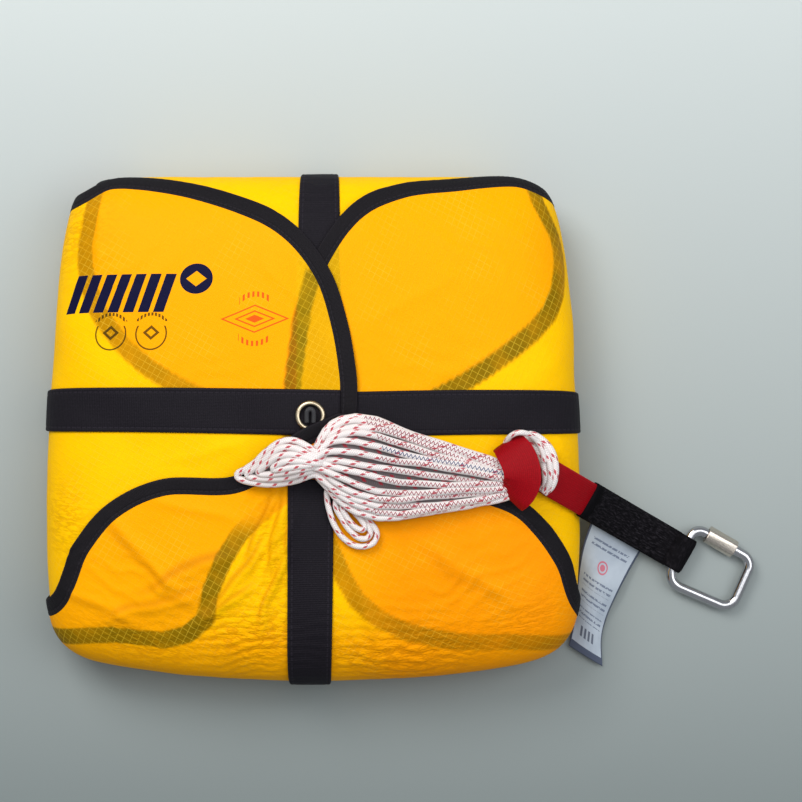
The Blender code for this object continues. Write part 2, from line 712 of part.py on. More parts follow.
def make_link(collection):
    """Quick link's bar with its gap, and the screw nut that closes it, on its slide axis."""
    bar = tube("link_bar", rounded_path(), BAR / 2, "steel", collection)
    bar.matrix_world = link_matrix()
    axis = bpy.data.objects.new("link_nut_axis", None)
    axis.matrix_world = link_matrix() @ Matrix.Translation((NUT_START * MM, LINK_CORNERS[0][1] * MM, 0))
    collection.objects.link(axis)
    corner_radius = NUT_FLATS / 2 / math.cos(math.pi / 6)
    nut = add_object("link_nut", prism("link_nut", 6, corner_radius, NUT_LENGTH, 0.8 * MM), "steel", collection)
    nut.parent = axis
    drill = prism("nut_bore_cutter", 20, BAR / 2 + FIT, NUT_LENGTH * 1.4, 0)
    cutter = bpy.data.objects.new("nut_bore_cutter", drill)
    cutters = bpy.data.collections.new("cutters")
    bpy.context.scene.collection.children.link(cutters)
    cutters.objects.link(cutter)
    cutter.parent = axis
    cutter.location = (-NUT_LENGTH * 0.2, 0, 0)
    cutter.hide_render = True
    cutter.display_type = "WIRE"
    bore = nut.modifiers.new("bore", "BOOLEAN")
    bore.operation = "DIFFERENCE"
    bore.object = cutter


def make_hitch(collection):
    """Red loop of the bridle arched over the hank's end, and the line loops caught over the strap."""
    run = np.array([math.sin(HITCH_TURN), -math.cos(HITCH_TURN), 0])
    across = np.array([-run[1], run[0], 0])
    rings = []
    path = []
    for along, height in HITCH_ARCH:
        spot = np.array(HITCH_PLACE) + run[:2] * along * MM
        u, v = np.array(spot[0]), np.array(spot[1])
        base = skin(u * SKIN_STRETCH, v, pack_top(u, v))
        path.append(np.array([spot[0], spot[1], base[2] + height * MM]))
    path = np.array(path)
    slopes = np.gradient(path, axis=0)
    for point, slope in zip(path, slopes):
        normal = np.cross(across, slope)
        normal = normal / np.linalg.norm(normal)
        rings.append(band_ring(point, across, normal, WEBBING_WIDTH, 2.4 * MM))
    loft("bridle_hitch", rings, "bridle", collection)
    rings = []
    middles = np.array([(x, y, z) for x, y, z, half in LOOP_CRESCENT]) * MM
    for (x, y, z, half), middle, slope in zip(LOOP_CRESCENT, middles, np.gradient(middles, axis=0)):
        side = np.array([slope[1], -slope[0], 0]) / math.hypot(slope[0], slope[1])
        rings.append([middle + side * half * MM * math.cos(a) + np.array([0, 0, 2.2 * MM * math.sin(a)])
                      for a in np.linspace(0, 2 * math.pi, 13)[:-1]])
    loft("line_loops", rings, "line", collection)


def make_label(collection):
    """Care label sewn under the sleeve, hanging in a soft twist beside the pack."""
    rows = []
    for near_x, near_y, near_z, far_x, far_y, far_z, curl in LABEL:
        near = np.array([near_x, near_y, near_z])
        far = np.array([far_x, far_y, far_z])
        row = []
        for share in np.linspace(0, 1, LABEL_COLUMNS + 1):
            point = near + (far - near) * share
            point[2] += curl * math.sin(math.pi * share)
            row.append(point * MM)
        rows.append(row)
    rows = np.array(rows)
    fine = np.stack([smooth_path(rows[:, k] / MM, 11) * MM for k in range(LABEL_COLUMNS + 1)], 1)
    sheet("label", fine, CLOTH, "label", collection)


def main():
    collection = fresh_scene()
    make_pack_body(collection)
    for layer, side in enumerate(LAYERS):
        make_flap("flap_" + side, layer, collection)
        make_tape("tape_" + side, layer, collection)
    for made in collection.objects:
        if made.name.startswith(("flap", "binding", "tape")):
            face_outwards(made)
    make_eyelet(collection)
    make_hank(collection)
    for name in BIGHTS:
        make_bight(name, collection)
    make_hitch(collection)
    make_bridle(collection)
    make_cuff(collection)
    make_link(collection)
    make_label(collection)


main()
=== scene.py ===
"""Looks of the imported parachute: cloth container, bindings, tapes, lines, bridle, quick link and label."""

import json
import math

import bmesh
import bpy
import numpy as np
from mathutils import Matrix, Vector, noise

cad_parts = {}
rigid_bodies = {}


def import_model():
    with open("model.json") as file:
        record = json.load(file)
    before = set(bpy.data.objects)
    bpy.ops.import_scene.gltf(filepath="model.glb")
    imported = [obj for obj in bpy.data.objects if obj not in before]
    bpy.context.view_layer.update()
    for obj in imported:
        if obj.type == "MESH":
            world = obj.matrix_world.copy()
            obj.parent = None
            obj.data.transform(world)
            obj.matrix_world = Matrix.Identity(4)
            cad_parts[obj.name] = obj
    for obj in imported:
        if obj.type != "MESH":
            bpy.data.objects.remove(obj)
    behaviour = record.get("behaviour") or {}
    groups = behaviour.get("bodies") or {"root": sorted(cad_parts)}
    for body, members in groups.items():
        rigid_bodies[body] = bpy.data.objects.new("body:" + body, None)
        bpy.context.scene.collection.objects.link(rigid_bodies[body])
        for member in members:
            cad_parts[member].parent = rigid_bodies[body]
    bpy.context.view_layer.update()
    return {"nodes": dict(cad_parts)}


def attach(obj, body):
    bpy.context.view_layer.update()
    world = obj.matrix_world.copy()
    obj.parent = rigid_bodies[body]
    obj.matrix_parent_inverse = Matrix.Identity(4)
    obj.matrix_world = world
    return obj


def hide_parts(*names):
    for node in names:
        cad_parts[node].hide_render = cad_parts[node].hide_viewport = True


bl_info = {
    "name": "Packed parachute looks",
    "version": (1, 0, 0),
    "blender": (4, 5, 0),
    "location": "View3D > Sidebar > Parachute",
    "description": "Builds the cloth, lines, bridle and link of a packed parachute round its frame",
    "category": "Object",
}

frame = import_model()

MM = 0.001

# The filled pack
HALF_WIDTH = 155 * MM
HALF_LENGTH = 146.5 * MM
MEAN_HALF = 150 * MM
WAIST = 30 * MM
SHOULDER = 28 * MM
CROWN = 8 * MM
BASE_SHARE = 0.9
SQUARENESS = 13
TAPER = 2.74
TAPER_START = -55 * MM
BOW = 0.06
BOW_REACH = 40 * MM
SHOULDER_START = 85 * MM
SHOULDER_RUN = 40 * MM
CONTENT_INSET = 1.9 * MM
BASE_CLEARANCE = 0.2 * MM
SKIN_CLEARANCE = 0.3 * MM

# Plies of cloth, tape and binding
CLOTH = 1.0 * MM
BINDING_THICK = 1.3 * MM
BINDING_WIDTH = 10 * MM
TAPE_THICK = 1.0 * MM
TAPE_WIDTH = 26 * MM
PLY_GAP = 0.45 * MM
FLAP_LIFT = BINDING_THICK + PLY_GAP
TAPE_LIFT = TAPE_THICK + PLY_GAP
LIFT_MARGIN = 12 * MM
LIFT_RAMP = 26 * MM
SHOULDER_EASE = 0.12
TUCK_SHARE = 0.55
CLOTH_SEAT = 0.25 * MM
TAPE_SEAT = -0.2 * MM
SEWING_PITCH = 3.3 * MM
EYELET_LIFT = 2.1 * MM
EYELET_PLACE = (0.2 * MM, 8 * MM)
EYELET_RADIUS = 8.6 * MM
EYELET_BORE = 6.0 * MM
ELASTIC_HALF_WIDTH = 1.3 * MM
ELASTIC_HALF_HEIGHT = 1.1 * MM

# Bridle and link
WEBBING_WIDTH = 21 * MM
SLEEVE_WIDTH = 22.5 * MM
HITCH_THICK = 2.2 * MM
HITCH_STRETCH = 1.03
STRAP_THICK = 3.4 * MM
STRAP_EASE = 0.4 * MM
SLEEVE_THICK = 5.6 * MM
SLEEVE_GROWTH = 2.6 * MM
SLEEVE_CROWN = 0.5 * MM
CUFF_RADIUS = 5.5 * MM
CUFF_GIRTH = 36 * MM
CUFF_PLAY = 0.35 * MM
CUFF_PATTERN_START = 80 * MM
CUFF_BACK = [(-3.5 * MM, 5.5 * MM), (-8.2 * MM, 4.6 * MM), (-8.2 * MM, -4.6 * MM), (-3.5 * MM, -5.5 * MM)]
BAR = 6 * MM
NUT_LENGTH = 19 * MM
NUT_FLATS = 10 * MM
LINK_PLACE = (219.1 * MM, -74.9 * MM, 7.0 * MM)
LINK_TURN = math.radians(-29.9)
LINK_DIP = math.radians(1.9)
GAP_START = 8.8 * MM
GAP_END = 12.4 * MM
NUT_START = 7.8 * MM
NUT_ROUND = 5.35 * MM
NUT_CHAMFER = 0.55 * MM
NUT_SOFTENING = 0.18 * MM
NUT_PLAY = 0.25 * MM

# Label
LABEL_WIDTH = 36.4 * MM
LABEL_LENGTH = 75 * MM
LABEL_THICK = 0.6 * MM

# Stage
CAMERA_PLACE = (0.0515, 0.0164, 1.268)
CAMERA_LENS = 94.5
FLOOR_SIZE = 12
SKY_COLOUR = (0.9, 0.95, 1.0, 1)
SKY_STRENGTH = 0.36
LIGHTS = [
    # name, place, size, power, colour
    ("key_light", (-0.55, 0.80, 1.15), 0.7, 14.0, (1.0, 0.99, 0.97)),
    ("fill_light", (0.85, 0.1, 1.1), 0.9, 6.5, (0.96, 0.98, 1.0)),
    ("top_light", (0.1, 0.35, 1.6), 0.9, 6.5, (1.0, 1.0, 1.0)),
]

# Lumps and hollows of the filling
SWELLS = [
    # u, v, radius, height
    (-85, 75, 55, 1.6),
    (85, 80, 50, 1.4),
    (-80, -75, 50, 1.8),
    (80, -80, 52, 1.5),
    (-120, 20, 28, -1.2),
    (30, -120, 26, -1.0),
    (125, 30, 30, 0.9),
]

# Edges of the flaps from their base to their tip, and the sag of the base between them: u and v
FLAPS = {
    "top": {
        "first": [(-165, 182), (-150, 153), (-144, 128), (-144, 100), (-132, 67), (-101, 34), (-60, 12),
                  (-18, -3)],
        "second": [(165, 182), (154, 153), (150, 134), (160, 108), (150, 70), (118, 40), (70, 12),
                   (22, -3)],
        "sag": 0,
    },
    "right": {
        "first": [(191, 167), (160, 148), (132, 151), (94, 147), (56, 142), (26, 128), (5, 104),
                  (-8, 74), (-15, 27)],
        "second": [(191, -167), (158, -150), (123, -137), (83, -130), (48, -119), (23, -101),
                   (8, -72), (-6, -36), (-15, -14)],
        "sag": 0,
    },
    "left": {
        "first": [(-191, 167), (-156, 142), (-130, 149), (-85, 144), (-37, 130.5), (-8, 114),
                  (12, 90), (22, 61), (26.7, 32), (27, 14)],
        "second": [(-191, -167), (-158, -146), (-118, -131), (-82, -129), (-58, -115), (-51, -90),
                   (-36, -62), (-8, -38), (24, -15)],
        "sag": 0,
    },
    "bottom": {
        "first": [(-189, -134), (-153, -110), (-136, -72), (-115, -44.5), (-85, -29), (-46, -27),
                  (-26, -16), (-8, -1.5), (16, 9.5)],
        "second": [(189, -143), (162, -114), (150, -84), (135, -59), (118, -42), (88, -29), (64, -16),
                   (44, 5)],
        "sag": -43,
    },
}
# Middle lines of the tapes from the pack's edge inwards, and the flaps in the order they are laid
TAPES = {
    "top": [(4.4, 184), (5, 110), (5, 16)],
    "right": [(193, 10), (90, 10), (0, 8)],
    "left": [(-193, 11.4), (-93, 11.4), (17, 9.6)],
    "bottom": [(-2.5, -184), (-0.5, -97), (0.3, -28)],
}
LAYERS = ["top", "right", "left", "bottom"]
COARSE_ROWS = 22
FLAP_ROWS = 150
PACK_GRID = 150
FLAP_COLUMNS = {"top": 130, "right": 130, "left": 140, "bottom": 240}

# Sizes of the cloth's slow wander and fine crumple, and how far the folds wander
WANDER_SIZE = 22 * MM
CRUMPLE_SIZE = 7 * MM
FOLD_WANDER = 3.2 * MM

# Wrinkled places of the cloth
CRINKLES = [
    # u, v, reach u, reach v, turn of the folds in degrees, pitch, height
    (-24, -66, 13, 34, 62, 8.0, 1.3),
    (-38, -120, 34, 26, 8, 5.5, 1.2),
    (48, -124, 36, 24, -6, 6.0, 1.2),
    (-140, -62, 14, 22, 30, 6.5, 1.2),
    (136, -24, 18, 20, -50, 9.0, 1.4),
    (0, 128, 34, 16, 4, 7.0, 0.9),
    (-96, -92, 34, 22, -28, 11.0, 0.9),
    (92, -92, 36, 26, 24, 12.0, 0.9),
    (-118, 96, 30, 26, 40, 12.0, 0.7),
    (98, 100, 36, 26, -36, 13.0, 0.8),
    (70, 40, 34, 24, -20, 14.0, 0.6),
    (-60, 30, 30, 14, 10, 12.0, 0.6),
]

# Cloth crumpled by packing
CREASED = [
    # u, v, reach u, reach v, strength
    (-30, -118, 44, 22, 1.0),
    (52, -130, 60, 18, 1.0),
    (-22, -74, 12, 34, 0.8),
    (-142, -58, 14, 24, 0.7),
    (-150, 118, 22, 26, 0.7),
    (134, -30, 18, 20, 0.6),
    (-100, -128, 40, 16, 0.7),
    (120, -118, 30, 16, 0.7),
]

# Single creases
CREASES = [
    # u, v, to u, to v, half width, height
    (-120, -46, -66, -106, 5.0, 1.6),
    (-100, -40, -34, -52, 3.2, 1.0),
    (-148, -100, -92, -118, 4.0, 1.4),
    (-34, -66, -104, -104, 4.2, 2.0),
    (-48, -88, -132, -122, 3.6, 1.8),
    (60, -62, 124, -112, 4.6, 1.5),
    (20, -72, 44, -138, 3.4, 1.2),
    (96, -40, 146, -66, 3.4, 1.3),
    (-7, -26, -14, -80, 1.8, 2.2),
    (-12, -28, -27, -92, 2.0, 2.3),
    (-17, -30, -40, -84, 2.2, 1.9),
    (-13, -66, -32, -122, 2.0, 2.1),
    (-20, -56, -64, -116, 2.4, 2.4),
    (-26, -84, -78, -122, 2.4, 2.1),
    (-14, -40, -22, -104, 2.4, 1.5),
    (16, -66, 19, -112, 2.4, 0.9),
    (32, 60, 96, 92, 4.0, 0.8),
    (62, 24, 130, 52, 4.0, 0.9),
    (-136, 52, -70, 108, 5.0, 0.8),
    (-30, 96, 2, 62, 3.6, 0.8),
    (-90, -20, -30, -6, 3.2, 0.8),
    (104, 128, 148, 96, 4.0, 0.8),
    (-150, 120, -118, 138, 4.0, 0.8),
    (-134, 132, -128, 88, 3.0, 1.2),
    (118, 0, 154, -20, 3.4, 1.0),
]

# Sections of the woven bands, eyelet and elastic
BINDING_SECTION = [
    # share from the outer edge, height in millimetres
    (1.0, 0.35), (0.8, 0.1), (0.5, 0.0), (0.15, 0.05), (0.02, 0.3), (0.0, 0.7), (0.04, 1.05), (0.14, 1.28),
    (0.3, 1.3), (0.45, 1.24), (0.6, 1.24), (0.72, 1.12), (0.79, 0.98), (0.86, 1.1), (0.96, 1.05), (1.0, 0.85),
]
TAPE_SECTION = [
    # share from the first edge, height in millimetres
    (0.0, 0.2), (0.02, 0.85), (0.06, 1.02), (0.10, 0.88), (0.16, 1.0), (0.3, 1.0), (0.4, 1.0), (0.5, 1.0),
    (0.6, 1.0), (0.7, 1.0), (0.84, 1.0), (0.90, 0.88), (0.94, 1.02), (0.98, 0.85), (1.0, 0.2), (0.9, 0.0),
    (0.7, 0.0), (0.5, 0.0), (0.3, 0.0), (0.1, 0.0),
]
EYELET_SECTION = [
    # radius, height, from the bore's foot over the rolled rim
    (5.85, 0.5), (5.95, 1.1), (6.3, 1.6), (6.9, 1.9), (7.6, 1.85), (8.15, 1.5), (8.5, 0.95), (8.6, 0.4),
    (8.5, 0.0),
]
ELASTIC_FOLD = [
    # x, y and height from the eyelet's middle
    (-1.9, -3.8, 0.9), (-2.0, 0, 1.5), (-1.7, 2.6, 2.1), (0, 3.8, 2.2), (1.7, 2.6, 2.1), (2.0, 0, 1.5),
    (1.9, -3.8, 0.9),
]

# How strongly a hidden binding or tape shows, from the nearest ply down
SHOW_THROUGH = (0.85, 0.55, 0.3)

# Changes of the bottom flap's look along it: painted shade at its base, coloured as stacked cloth where it
# hangs down the front, stacked cloth at its right, and faint bands below
BASE_SHADE_PLIES = 0.8
BASE_SHADE_FADE = (-126 * MM, -100 * MM)
RIGHT_PLIES = 0.5
RIGHT_FADE = (10 * MM, 60 * MM)
BAND_LOSS = 0.9
BAND_FADE = (-68 * MM, -46 * MM)

# Outline of the hank of lines, and of the core under its strands
HANK_SPAN = (2.5, 112.5)
HANK_FAN = (math.radians(8), math.radians(164))
STRAND_PITCH = 3.1
HANK = [
    # u, upper edge v, lower edge v, height
    (1.5, -12, -25.5, 13.0),
    (3.5, -9, -27.5, 13.5),
    (6, -3.5, -30.5, 13.8),
    (9, 1.5, -34, 14.2),
    (13, 5.5, -38.5, 14.6),
    (18, 8.0, -42.5, 15.0),
    (26, 9.6, -47.5, 15.5),
    (38, 8, -52.0, 15.5),
    (50, 3.6, -52.5, 15.0),
    (63, -1.2, -51, 14.5),
    (76, -6, -49.5, 14.0),
    (88, -10.5, -47.5, 13.0),
    (99, -15.0, -45.5, 12.5),
    (107, -18.5, -43.5, 12.0),
    (113, -21.5, -41.5, 11.0),
]
CORE = [
    # u, upper edge v, lower edge v, height
    (-37, -21.5, -27, 3.0),
    (-33, -18.5, -29, 4.2),
    (-26, -13, -30, 5.8),
    (-17, -7, -30.5, 7.2),
    (-9, -6.5, -28.5, 8.6),
    (-2, -10.5, -26, 9.5),
    (3.5, -11, -26.5, 9.5),
    (9, -2, -32.5, 9.5),
    (16, 5, -39, 10.0),
    (26, 7, -45.5, 10.5),
    (50, 1, -50.5, 10.0),
    (76, -8.5, -47.5, 9.0),
    (99, -17, -43.5, 8.0),
    (112, -23, -40, 7.0),
]
# Strands that fan out over the hank
STRANDS = [
    # share across the hank, plies in from the outside at the neck, start of the sewn end, blue thread
    (0.02, 0, 0.29, 0),
    (0.085, 1, 0.30, 0),
    (0.17, 2, 0.33, 0),
    (0.255, 1, 0.34, 0),
    (0.33, 0, 0.35, 1),
    (0.405, 0, 0.33, 0),
    (0.49, 2, 0.38, 0),
    (0.565, 1, 0.35, 0),
    (0.65, 0, 0.37, 0),
    (0.72, 2, 0.34, 0),
    (0.80, 0, 0.36, 0),
    (0.875, 1, 0.33, 0),
    (0.945, 0, 1.0, 0),
    (1.0, 1, 1.0, 0),
]

# Loops of line that make the hank's tail: u, v and height over the pack
TAIL_LOOPS = [
    [(11, -13, 6), (6, -13.5, 10.5), (0, -9.5, 10), (-8, -5.8, 8.6), (-16, -6.6, 7.6), (-24, -12.0, 6.4),
     (-31, -18.6, 5), (-37, -22.6, 4.2), (-40.8, -24.8, 3.6), (-40.4, -27.4, 3.6), (-34, -29.4, 4.2),
     (-21, -30.4, 5), (-8, -28.2, 6.5), (2, -24.6, 8.5), (9, -25, 6)],
    [(12, -16, 6), (6, -15.6, 11), (-1, -12.8, 11.6), (-9, -9.6, 10.6), (-17, -10.4, 9.6), (-24, -15.6, 8.2),
     (-30, -20.8, 6.6), (-35, -24.4, 5.4), (-33.6, -26.6, 5.2), (-24, -27.2, 6.8), (-12, -26.2, 8.4),
     (-2, -23.2, 10), (10, -21, 6)],
    [(12, -18, 6), (4, -16.8, 12.2), (-4, -14.6, 12.6), (-11, -13.4, 11.8), (-18, -14.8, 10.8),
     (-24, -19.2, 9), (-28.6, -23.2, 7.4), (-26, -24.8, 7.4), (-16, -23.8, 9.6), (-5, -21.6, 12),
     (4, -19.8, 10.6), (11, -19, 6)],
    [(12, -19, 6), (4, -18.2, 12.4), (-5, -17, 13), (-13, -17.2, 12), (-19, -20, 10.4),
     (-19.6, -22, 10), (-12, -20.8, 11.8), (-3, -19.4, 13), (4, -18.9, 11.4), (11, -19.4, 5)],
]

# Slack lines beside the hank: u and v; their seat on the pack, and how their ends tuck under the hank
SLACK_SEAT = 0.4 * MM
SLACK_STACK = 1.1 * MM
TUCK_LENGTH = 16 * MM
TUCK_LIFT = 3 * MM
BIGHTS = {
    "line_bight_outer": [(13, -28), (10, -33), (9.6, -38.6), (11, -46), (13.8, -54), (18.2, -60.6), (24, -65),
                         (30, -66.2), (35.6, -64.4), (37.8, -60), (36.4, -55.6), (33, -51.4), (28, -45)],
    "line_bight_inner": [(17, -34), (14.4, -42), (17.6, -49.4), (22, -56.2), (27, -60.8), (31.6, -61.6),
                         (34, -58.8), (32.6, -54.6), (29.4, -50.4), (25, -44)],
    "line_bight_small": [(20, -36), (18.4, -43.5), (21, -49.6), (25.4, -54.8), (29.4, -56.6),
                         (30.8, -54.2), (28.4, -50.2), (25.0, -46.4), (22, -41)],
}

# Three line loops that lie over the strap beside the hitch
LOOP_RUNS = [
    # offset across, lift
    (-3.4, -0.4),
    (0.1, 0.8),
    (3.4, -0.4),
]
LOOP_EDGE = [(110.6, -9.4, 66.0), (112.0, -5.6, 71.5), (114.8, -2.6, 76.0), (119.0, -1.4, 77.5),
             (124.4, -2.8, 74.5), (129.2, -7.0, 71.2), (132.0, -12.4, 70.6), (133.0, -18.6, 70.2)]
LOOP_PATH = [(121.5, -5.0, 64.0), (126.0, -4.8, 66.3), (130.6, -8.4, 67.2), (134.2, -13.4, 67.9),
             (136.1, -19.4, 68.1), (136.6, -25.8, 67.9), (135.8, -31.2, 67.2), (132.6, -35.6, 65.2)]

# Red loop of the bridle over the hank's end: u, v and height over the pack
HITCH = [
    (111.8, -7.2, 4.0), (112.6, -8.2, 8.4), (114.4, -10.8, 12.6), (116.9, -14.6, 15.5),
    (118.7, -18.8, 17.0), (119.9, -23.6, 17.5), (119.9, -29.0, 16.7), (118.1, -33.6, 14.4),
    (115.4, -36.8, 11.2), (113.2, -38.6, 7.4),
]

# Middle line of the strap and sleeve
BRIDLE = [
    # back from the link's bar, height
    (106.0, 63.6),
    (101.0, 63.2),
    (96.5, 62.8),
    (93.6, 62.5),
    (89.5, 61.2),
    (84.0, 57.6),
    (77.0, 52.6),
    (69.5, 45.6),
    (62.0, 38.4),
    (54.0, 31.2),
    (45.0, 24.0),
    (36.0, 17.8),
    (27.0, 12.8),
    (18.0, 9.2),
    (10.0, 7.2),
    (5.9, 6.5),
]
SLEEVE_START = 68.6

# Cross lines of the hanging label, from the sleeve to its free end
LABEL = [
    # near x, near y, near z, far x, far y, far z, curl
    (163.2, -54.2, 28.9, 195.6, -72.8, 3.6, -1.0),
    (159.5, -68.0, 20.5, 188.0, -85.5, 5.2, 0.5),
    (158.0, -81.0, 13.5, 181.0, -98.5, 6.0, 4.0),
    (157.0, -97.0, 7.5, 174.6, -113.5, 4.5, 4.5),
    (156.0, -113.5, 4.5, 171.6, -127.0, 3.4, 4.0),
    (152.5, -130.5, 3.0, 172.3, -142.9, 2.6, 2.5),
]

# Corners of the link's middle line in its own plane
LINK_CORNERS = [
    # along, across, radius
    (39.5, 18.0, 7.5),
    (43.0, -14.0, 8.0),
    (0.0, -19.0, 8.5),
    (0.0, 18.0, 6.0),
]

# Ripstop lattice, and the printed shapes in millimetres of the pattern: places are u and v
RIPSTOP_PITCH = 3.7
BLOCKS_PLACE = (-144.5, 78)
BLOCKS_LENGTH = 63
BLOCK_PITCH = 9.0
BLOCK_SHARE = 0.7
BLOCK_HALF_HEIGHT = 10.8
BLOCK_SLANT = 0.3
OVAL_PLACE = (-69, 86)
OVAL_HALVES = (9.9, 8.6)
OVAL_PALE_HALVES = (6.2, 4.4)
RING_PLACES = ((-118, 55), (-94, 55))
RING_RADII = (8.5, 9.4)
RING_DASHES = (10.2, 12.0)
RING_LOZENGE_HALVES = (5.0, 4.2)
LOZENGE_PLACE = (-33, 63)
LOZENGE_HALVES = (20.5, 8.0)
LOZENGE_DASHES = (12.5, 15.5)


def srgb(red, green, blue):
    """Linear colour of display values from 0 to 255."""
    shares = (red / 255, green / 255, blue / 255)
    return tuple(c / 12.92 if c <= 0.04045 else ((c + 0.055) / 1.055) ** 2.4 for c in shares)


def unit(vectors):
    """Vectors scaled to length 1."""
    return vectors / np.linalg.norm(vectors, axis=-1, keepdims=True)


def turned(vectors):
    """Plan vectors turned a quarter to the left."""
    return np.stack([-vectors[..., 1], vectors[..., 0]], -1)


# ---------------------------------------------------------------- shape of the pack

def side_profile():
    """Half section of the pack: distance along the skin, radius and height."""
    top = 1 - (1 - np.linspace(0, 1, 400)) ** 2
    low = 1 - (1 - BASE_SHARE) * np.linspace(0, 1, 160)[1:] ** 2
    z_top = WAIST + SHOULDER * np.sqrt(1 - top ** 7)
    full = math.sqrt(1 - BASE_SHARE ** 6)
    z_low = WAIST * (1 - np.sqrt(np.clip(1 - low ** 6, 0, 1)) / full)
    radius = np.concatenate([top, low]) * MEAN_HALF
    height = np.concatenate([z_top, z_low])
    reach = np.concatenate([[0], np.cumsum(np.hypot(np.diff(radius), np.diff(height)))])
    return reach, radius, height


REACH, RADIUS, HEIGHT = side_profile()


def reach_of(u, v):
    """Squared-off distance from the crown, in pattern coordinates."""
    total = np.abs(u / HALF_WIDTH) ** SQUARENESS + np.abs(v / HALF_LENGTH) ** SQUARENESS
    return np.maximum(total ** (1 / SQUARENESS) * MEAN_HALF, 1e-6)


def wrap(u, v):
    """Points of the pack's skin at pattern coordinates u, v."""
    u = np.asarray(u, float)
    v = np.asarray(v, float)
    reach = reach_of(u, v)
    pull = np.interp(reach, REACH, RADIUS) / reach
    x = u * pull
    y = v * pull
    z = np.interp(reach, REACH, HEIGHT)
    inner = np.clip(1 - (x / HALF_WIDTH) ** 2, 0, 1) * np.clip(1 - (y / HALF_LENGTH) ** 2, 0, 1)
    swell = np.zeros_like(z)
    for su, sv, radius, height in SWELLS:
        away = ((u - su * MM) ** 2 + (v - sv * MM) ** 2) / (radius * MM) ** 2
        swell = swell + height * MM * np.exp(-away)
    z = z + CROWN * inner + swell * np.sqrt(np.clip(inner, 0, 1))
    taper = 1 - TAPER * (y - TAPER_START) ** 2
    bow = BOW - BOW * np.tanh(y / BOW_REACH)
    return np.stack([x * taper, y * (1 - bow * (x / HALF_WIDTH) ** 2), z], -1)


def skin(u, v, lift):
    """Points lifted off the skin along its outward normal."""
    step = 0.5 * MM
    across = wrap(u + step, v) - wrap(u - step, v)
    along = wrap(u, v + step) - wrap(u, v - step)
    normal = unit(np.cross(across, along))
    return wrap(u, v) + normal * np.asarray(lift)[..., None]


def smooth_path(points, count, close_start=False):
    """Catmull-Rom curve through points, resampled evenly or with closer steps over the shoulder."""
    knots = np.array(points, float)
    ends = np.vstack([2 * knots[0] - knots[1], knots, 2 * knots[-1] - knots[-2]])
    fine = []
    for i in range(len(knots) - 1):
        a, b, c, d = ends[i:i + 4]
        for t in np.linspace(0, 1, 24, endpoint=False):
            fine.append(0.5 * (2 * b + (c - a) * t + (2 * a - 5 * b + 4 * c - d) * t ** 2
                               + (3 * b - a - 3 * c + d) * t ** 3))
    fine.append(knots[-1])
    fine = np.array(fine)
    steps = np.concatenate([[0], np.cumsum(np.linalg.norm(np.diff(fine, axis=0), axis=1))])
    share = np.linspace(0, 1, count)
    if close_start:
        share = share - 0.16 * np.sin(math.pi * share) ** 2 * (1.25 - share)
    return np.stack([np.interp(share * steps[-1], steps, column) for column in fine.T], -1)


def flap_rim(name, rows, inset):
    """Outer edge of a flap, from one end of its base round the tip to the other, and the edge moved in."""
    first = smooth_path(FLAPS[name]["first"], rows, True) * MM
    second = smooth_path(FLAPS[name]["second"], rows, True) * MM
    rim = np.vstack([first, second[::-1]])
    ahead = np.vstack([rim[1:], rim[-1:]]) - rim
    ahead[-1] = ahead[-2]
    behind = np.vstack([ahead[:1], ahead[:-1]])
    one = unit(turned(behind))
    two = unit(turned(ahead))
    normal = unit(one + two)
    normal /= np.maximum(np.sqrt((1 + (one * two).sum(1)) / 2), 0.6)[:, None]
    if np.sum(normal * (rim.mean(0) - rim)) < 0:
        normal = -normal
    return rim, rim + normal * inset


def depth_inside(outline, u, v):
    """Distance into a closed outline, negative outside it."""
    shape = np.broadcast(u, v).shape
    points = np.stack([np.broadcast_to(u, shape).ravel(), np.broadcast_to(v, shape).ravel()], -1)
    nearest = np.full(len(points), 1e9)
    inside = np.zeros(len(points), bool)
    for a, b in zip(outline, np.roll(outline, -1, axis=0)):
        side = b - a
        share = np.clip(((points - a) @ side) / max(side @ side, 1e-12), 0, 1)
        nearest = np.minimum(nearest, np.linalg.norm(points - a - share[:, None] * side, axis=1))
        if a[1] != b[1]:
            crossing = (a[1] > points[:, 1]) != (b[1] > points[:, 1])
            at = a[0] + (points[:, 1] - a[1]) / (b[1] - a[1]) * side[0]
            inside ^= crossing & (points[:, 0] < at)
    return np.where(inside, nearest, -nearest).reshape(shape)


def rise_between(value, low, high):
    """Smooth step from 0 at low to 1 at high."""
    share = np.clip((value - low) / (high - low), 0, 1)
    return share * share * (3 - 2 * share)


def rise(depth):
    """1 well inside an outline, falling to 0 outside it."""
    return rise_between(depth, -LIFT_MARGIN - LIFT_RAMP, -LIFT_MARGIN)


def shoulder_ease(u, v):
    """Growth of the room between plies from the flat top to the shoulders and sides."""
    return 1 + SHOULDER_EASE * np.clip((reach_of(u, v) - SHOULDER_START) / SHOULDER_RUN, 0, 1)


def strip_side(line, offset):
    """A line moved sideways in its own plane."""
    return line + unit(turned(np.gradient(line, axis=0))) * offset


def across_plan(path):
    """Level unit vectors to the left of a path."""
    flat = turned(np.gradient(path, axis=0))
    return unit(np.append(flat, np.zeros((len(flat), 1)), axis=1))


def tape_outline(name):
    """Closed outline of a tape in pattern coordinates."""
    line = smooth_path(TAPES[name], 8) * MM
    return np.vstack([strip_side(line, TAPE_WIDTH / 2), strip_side(line, -TAPE_WIDTH / 2)[::-1]])


FLAP_OUTLINES = {name: flap_rim(name, COARSE_ROWS, 0)[0] for name in FLAPS}
TAPE_OUTLINES = {name: tape_outline(name) for name in TAPES}


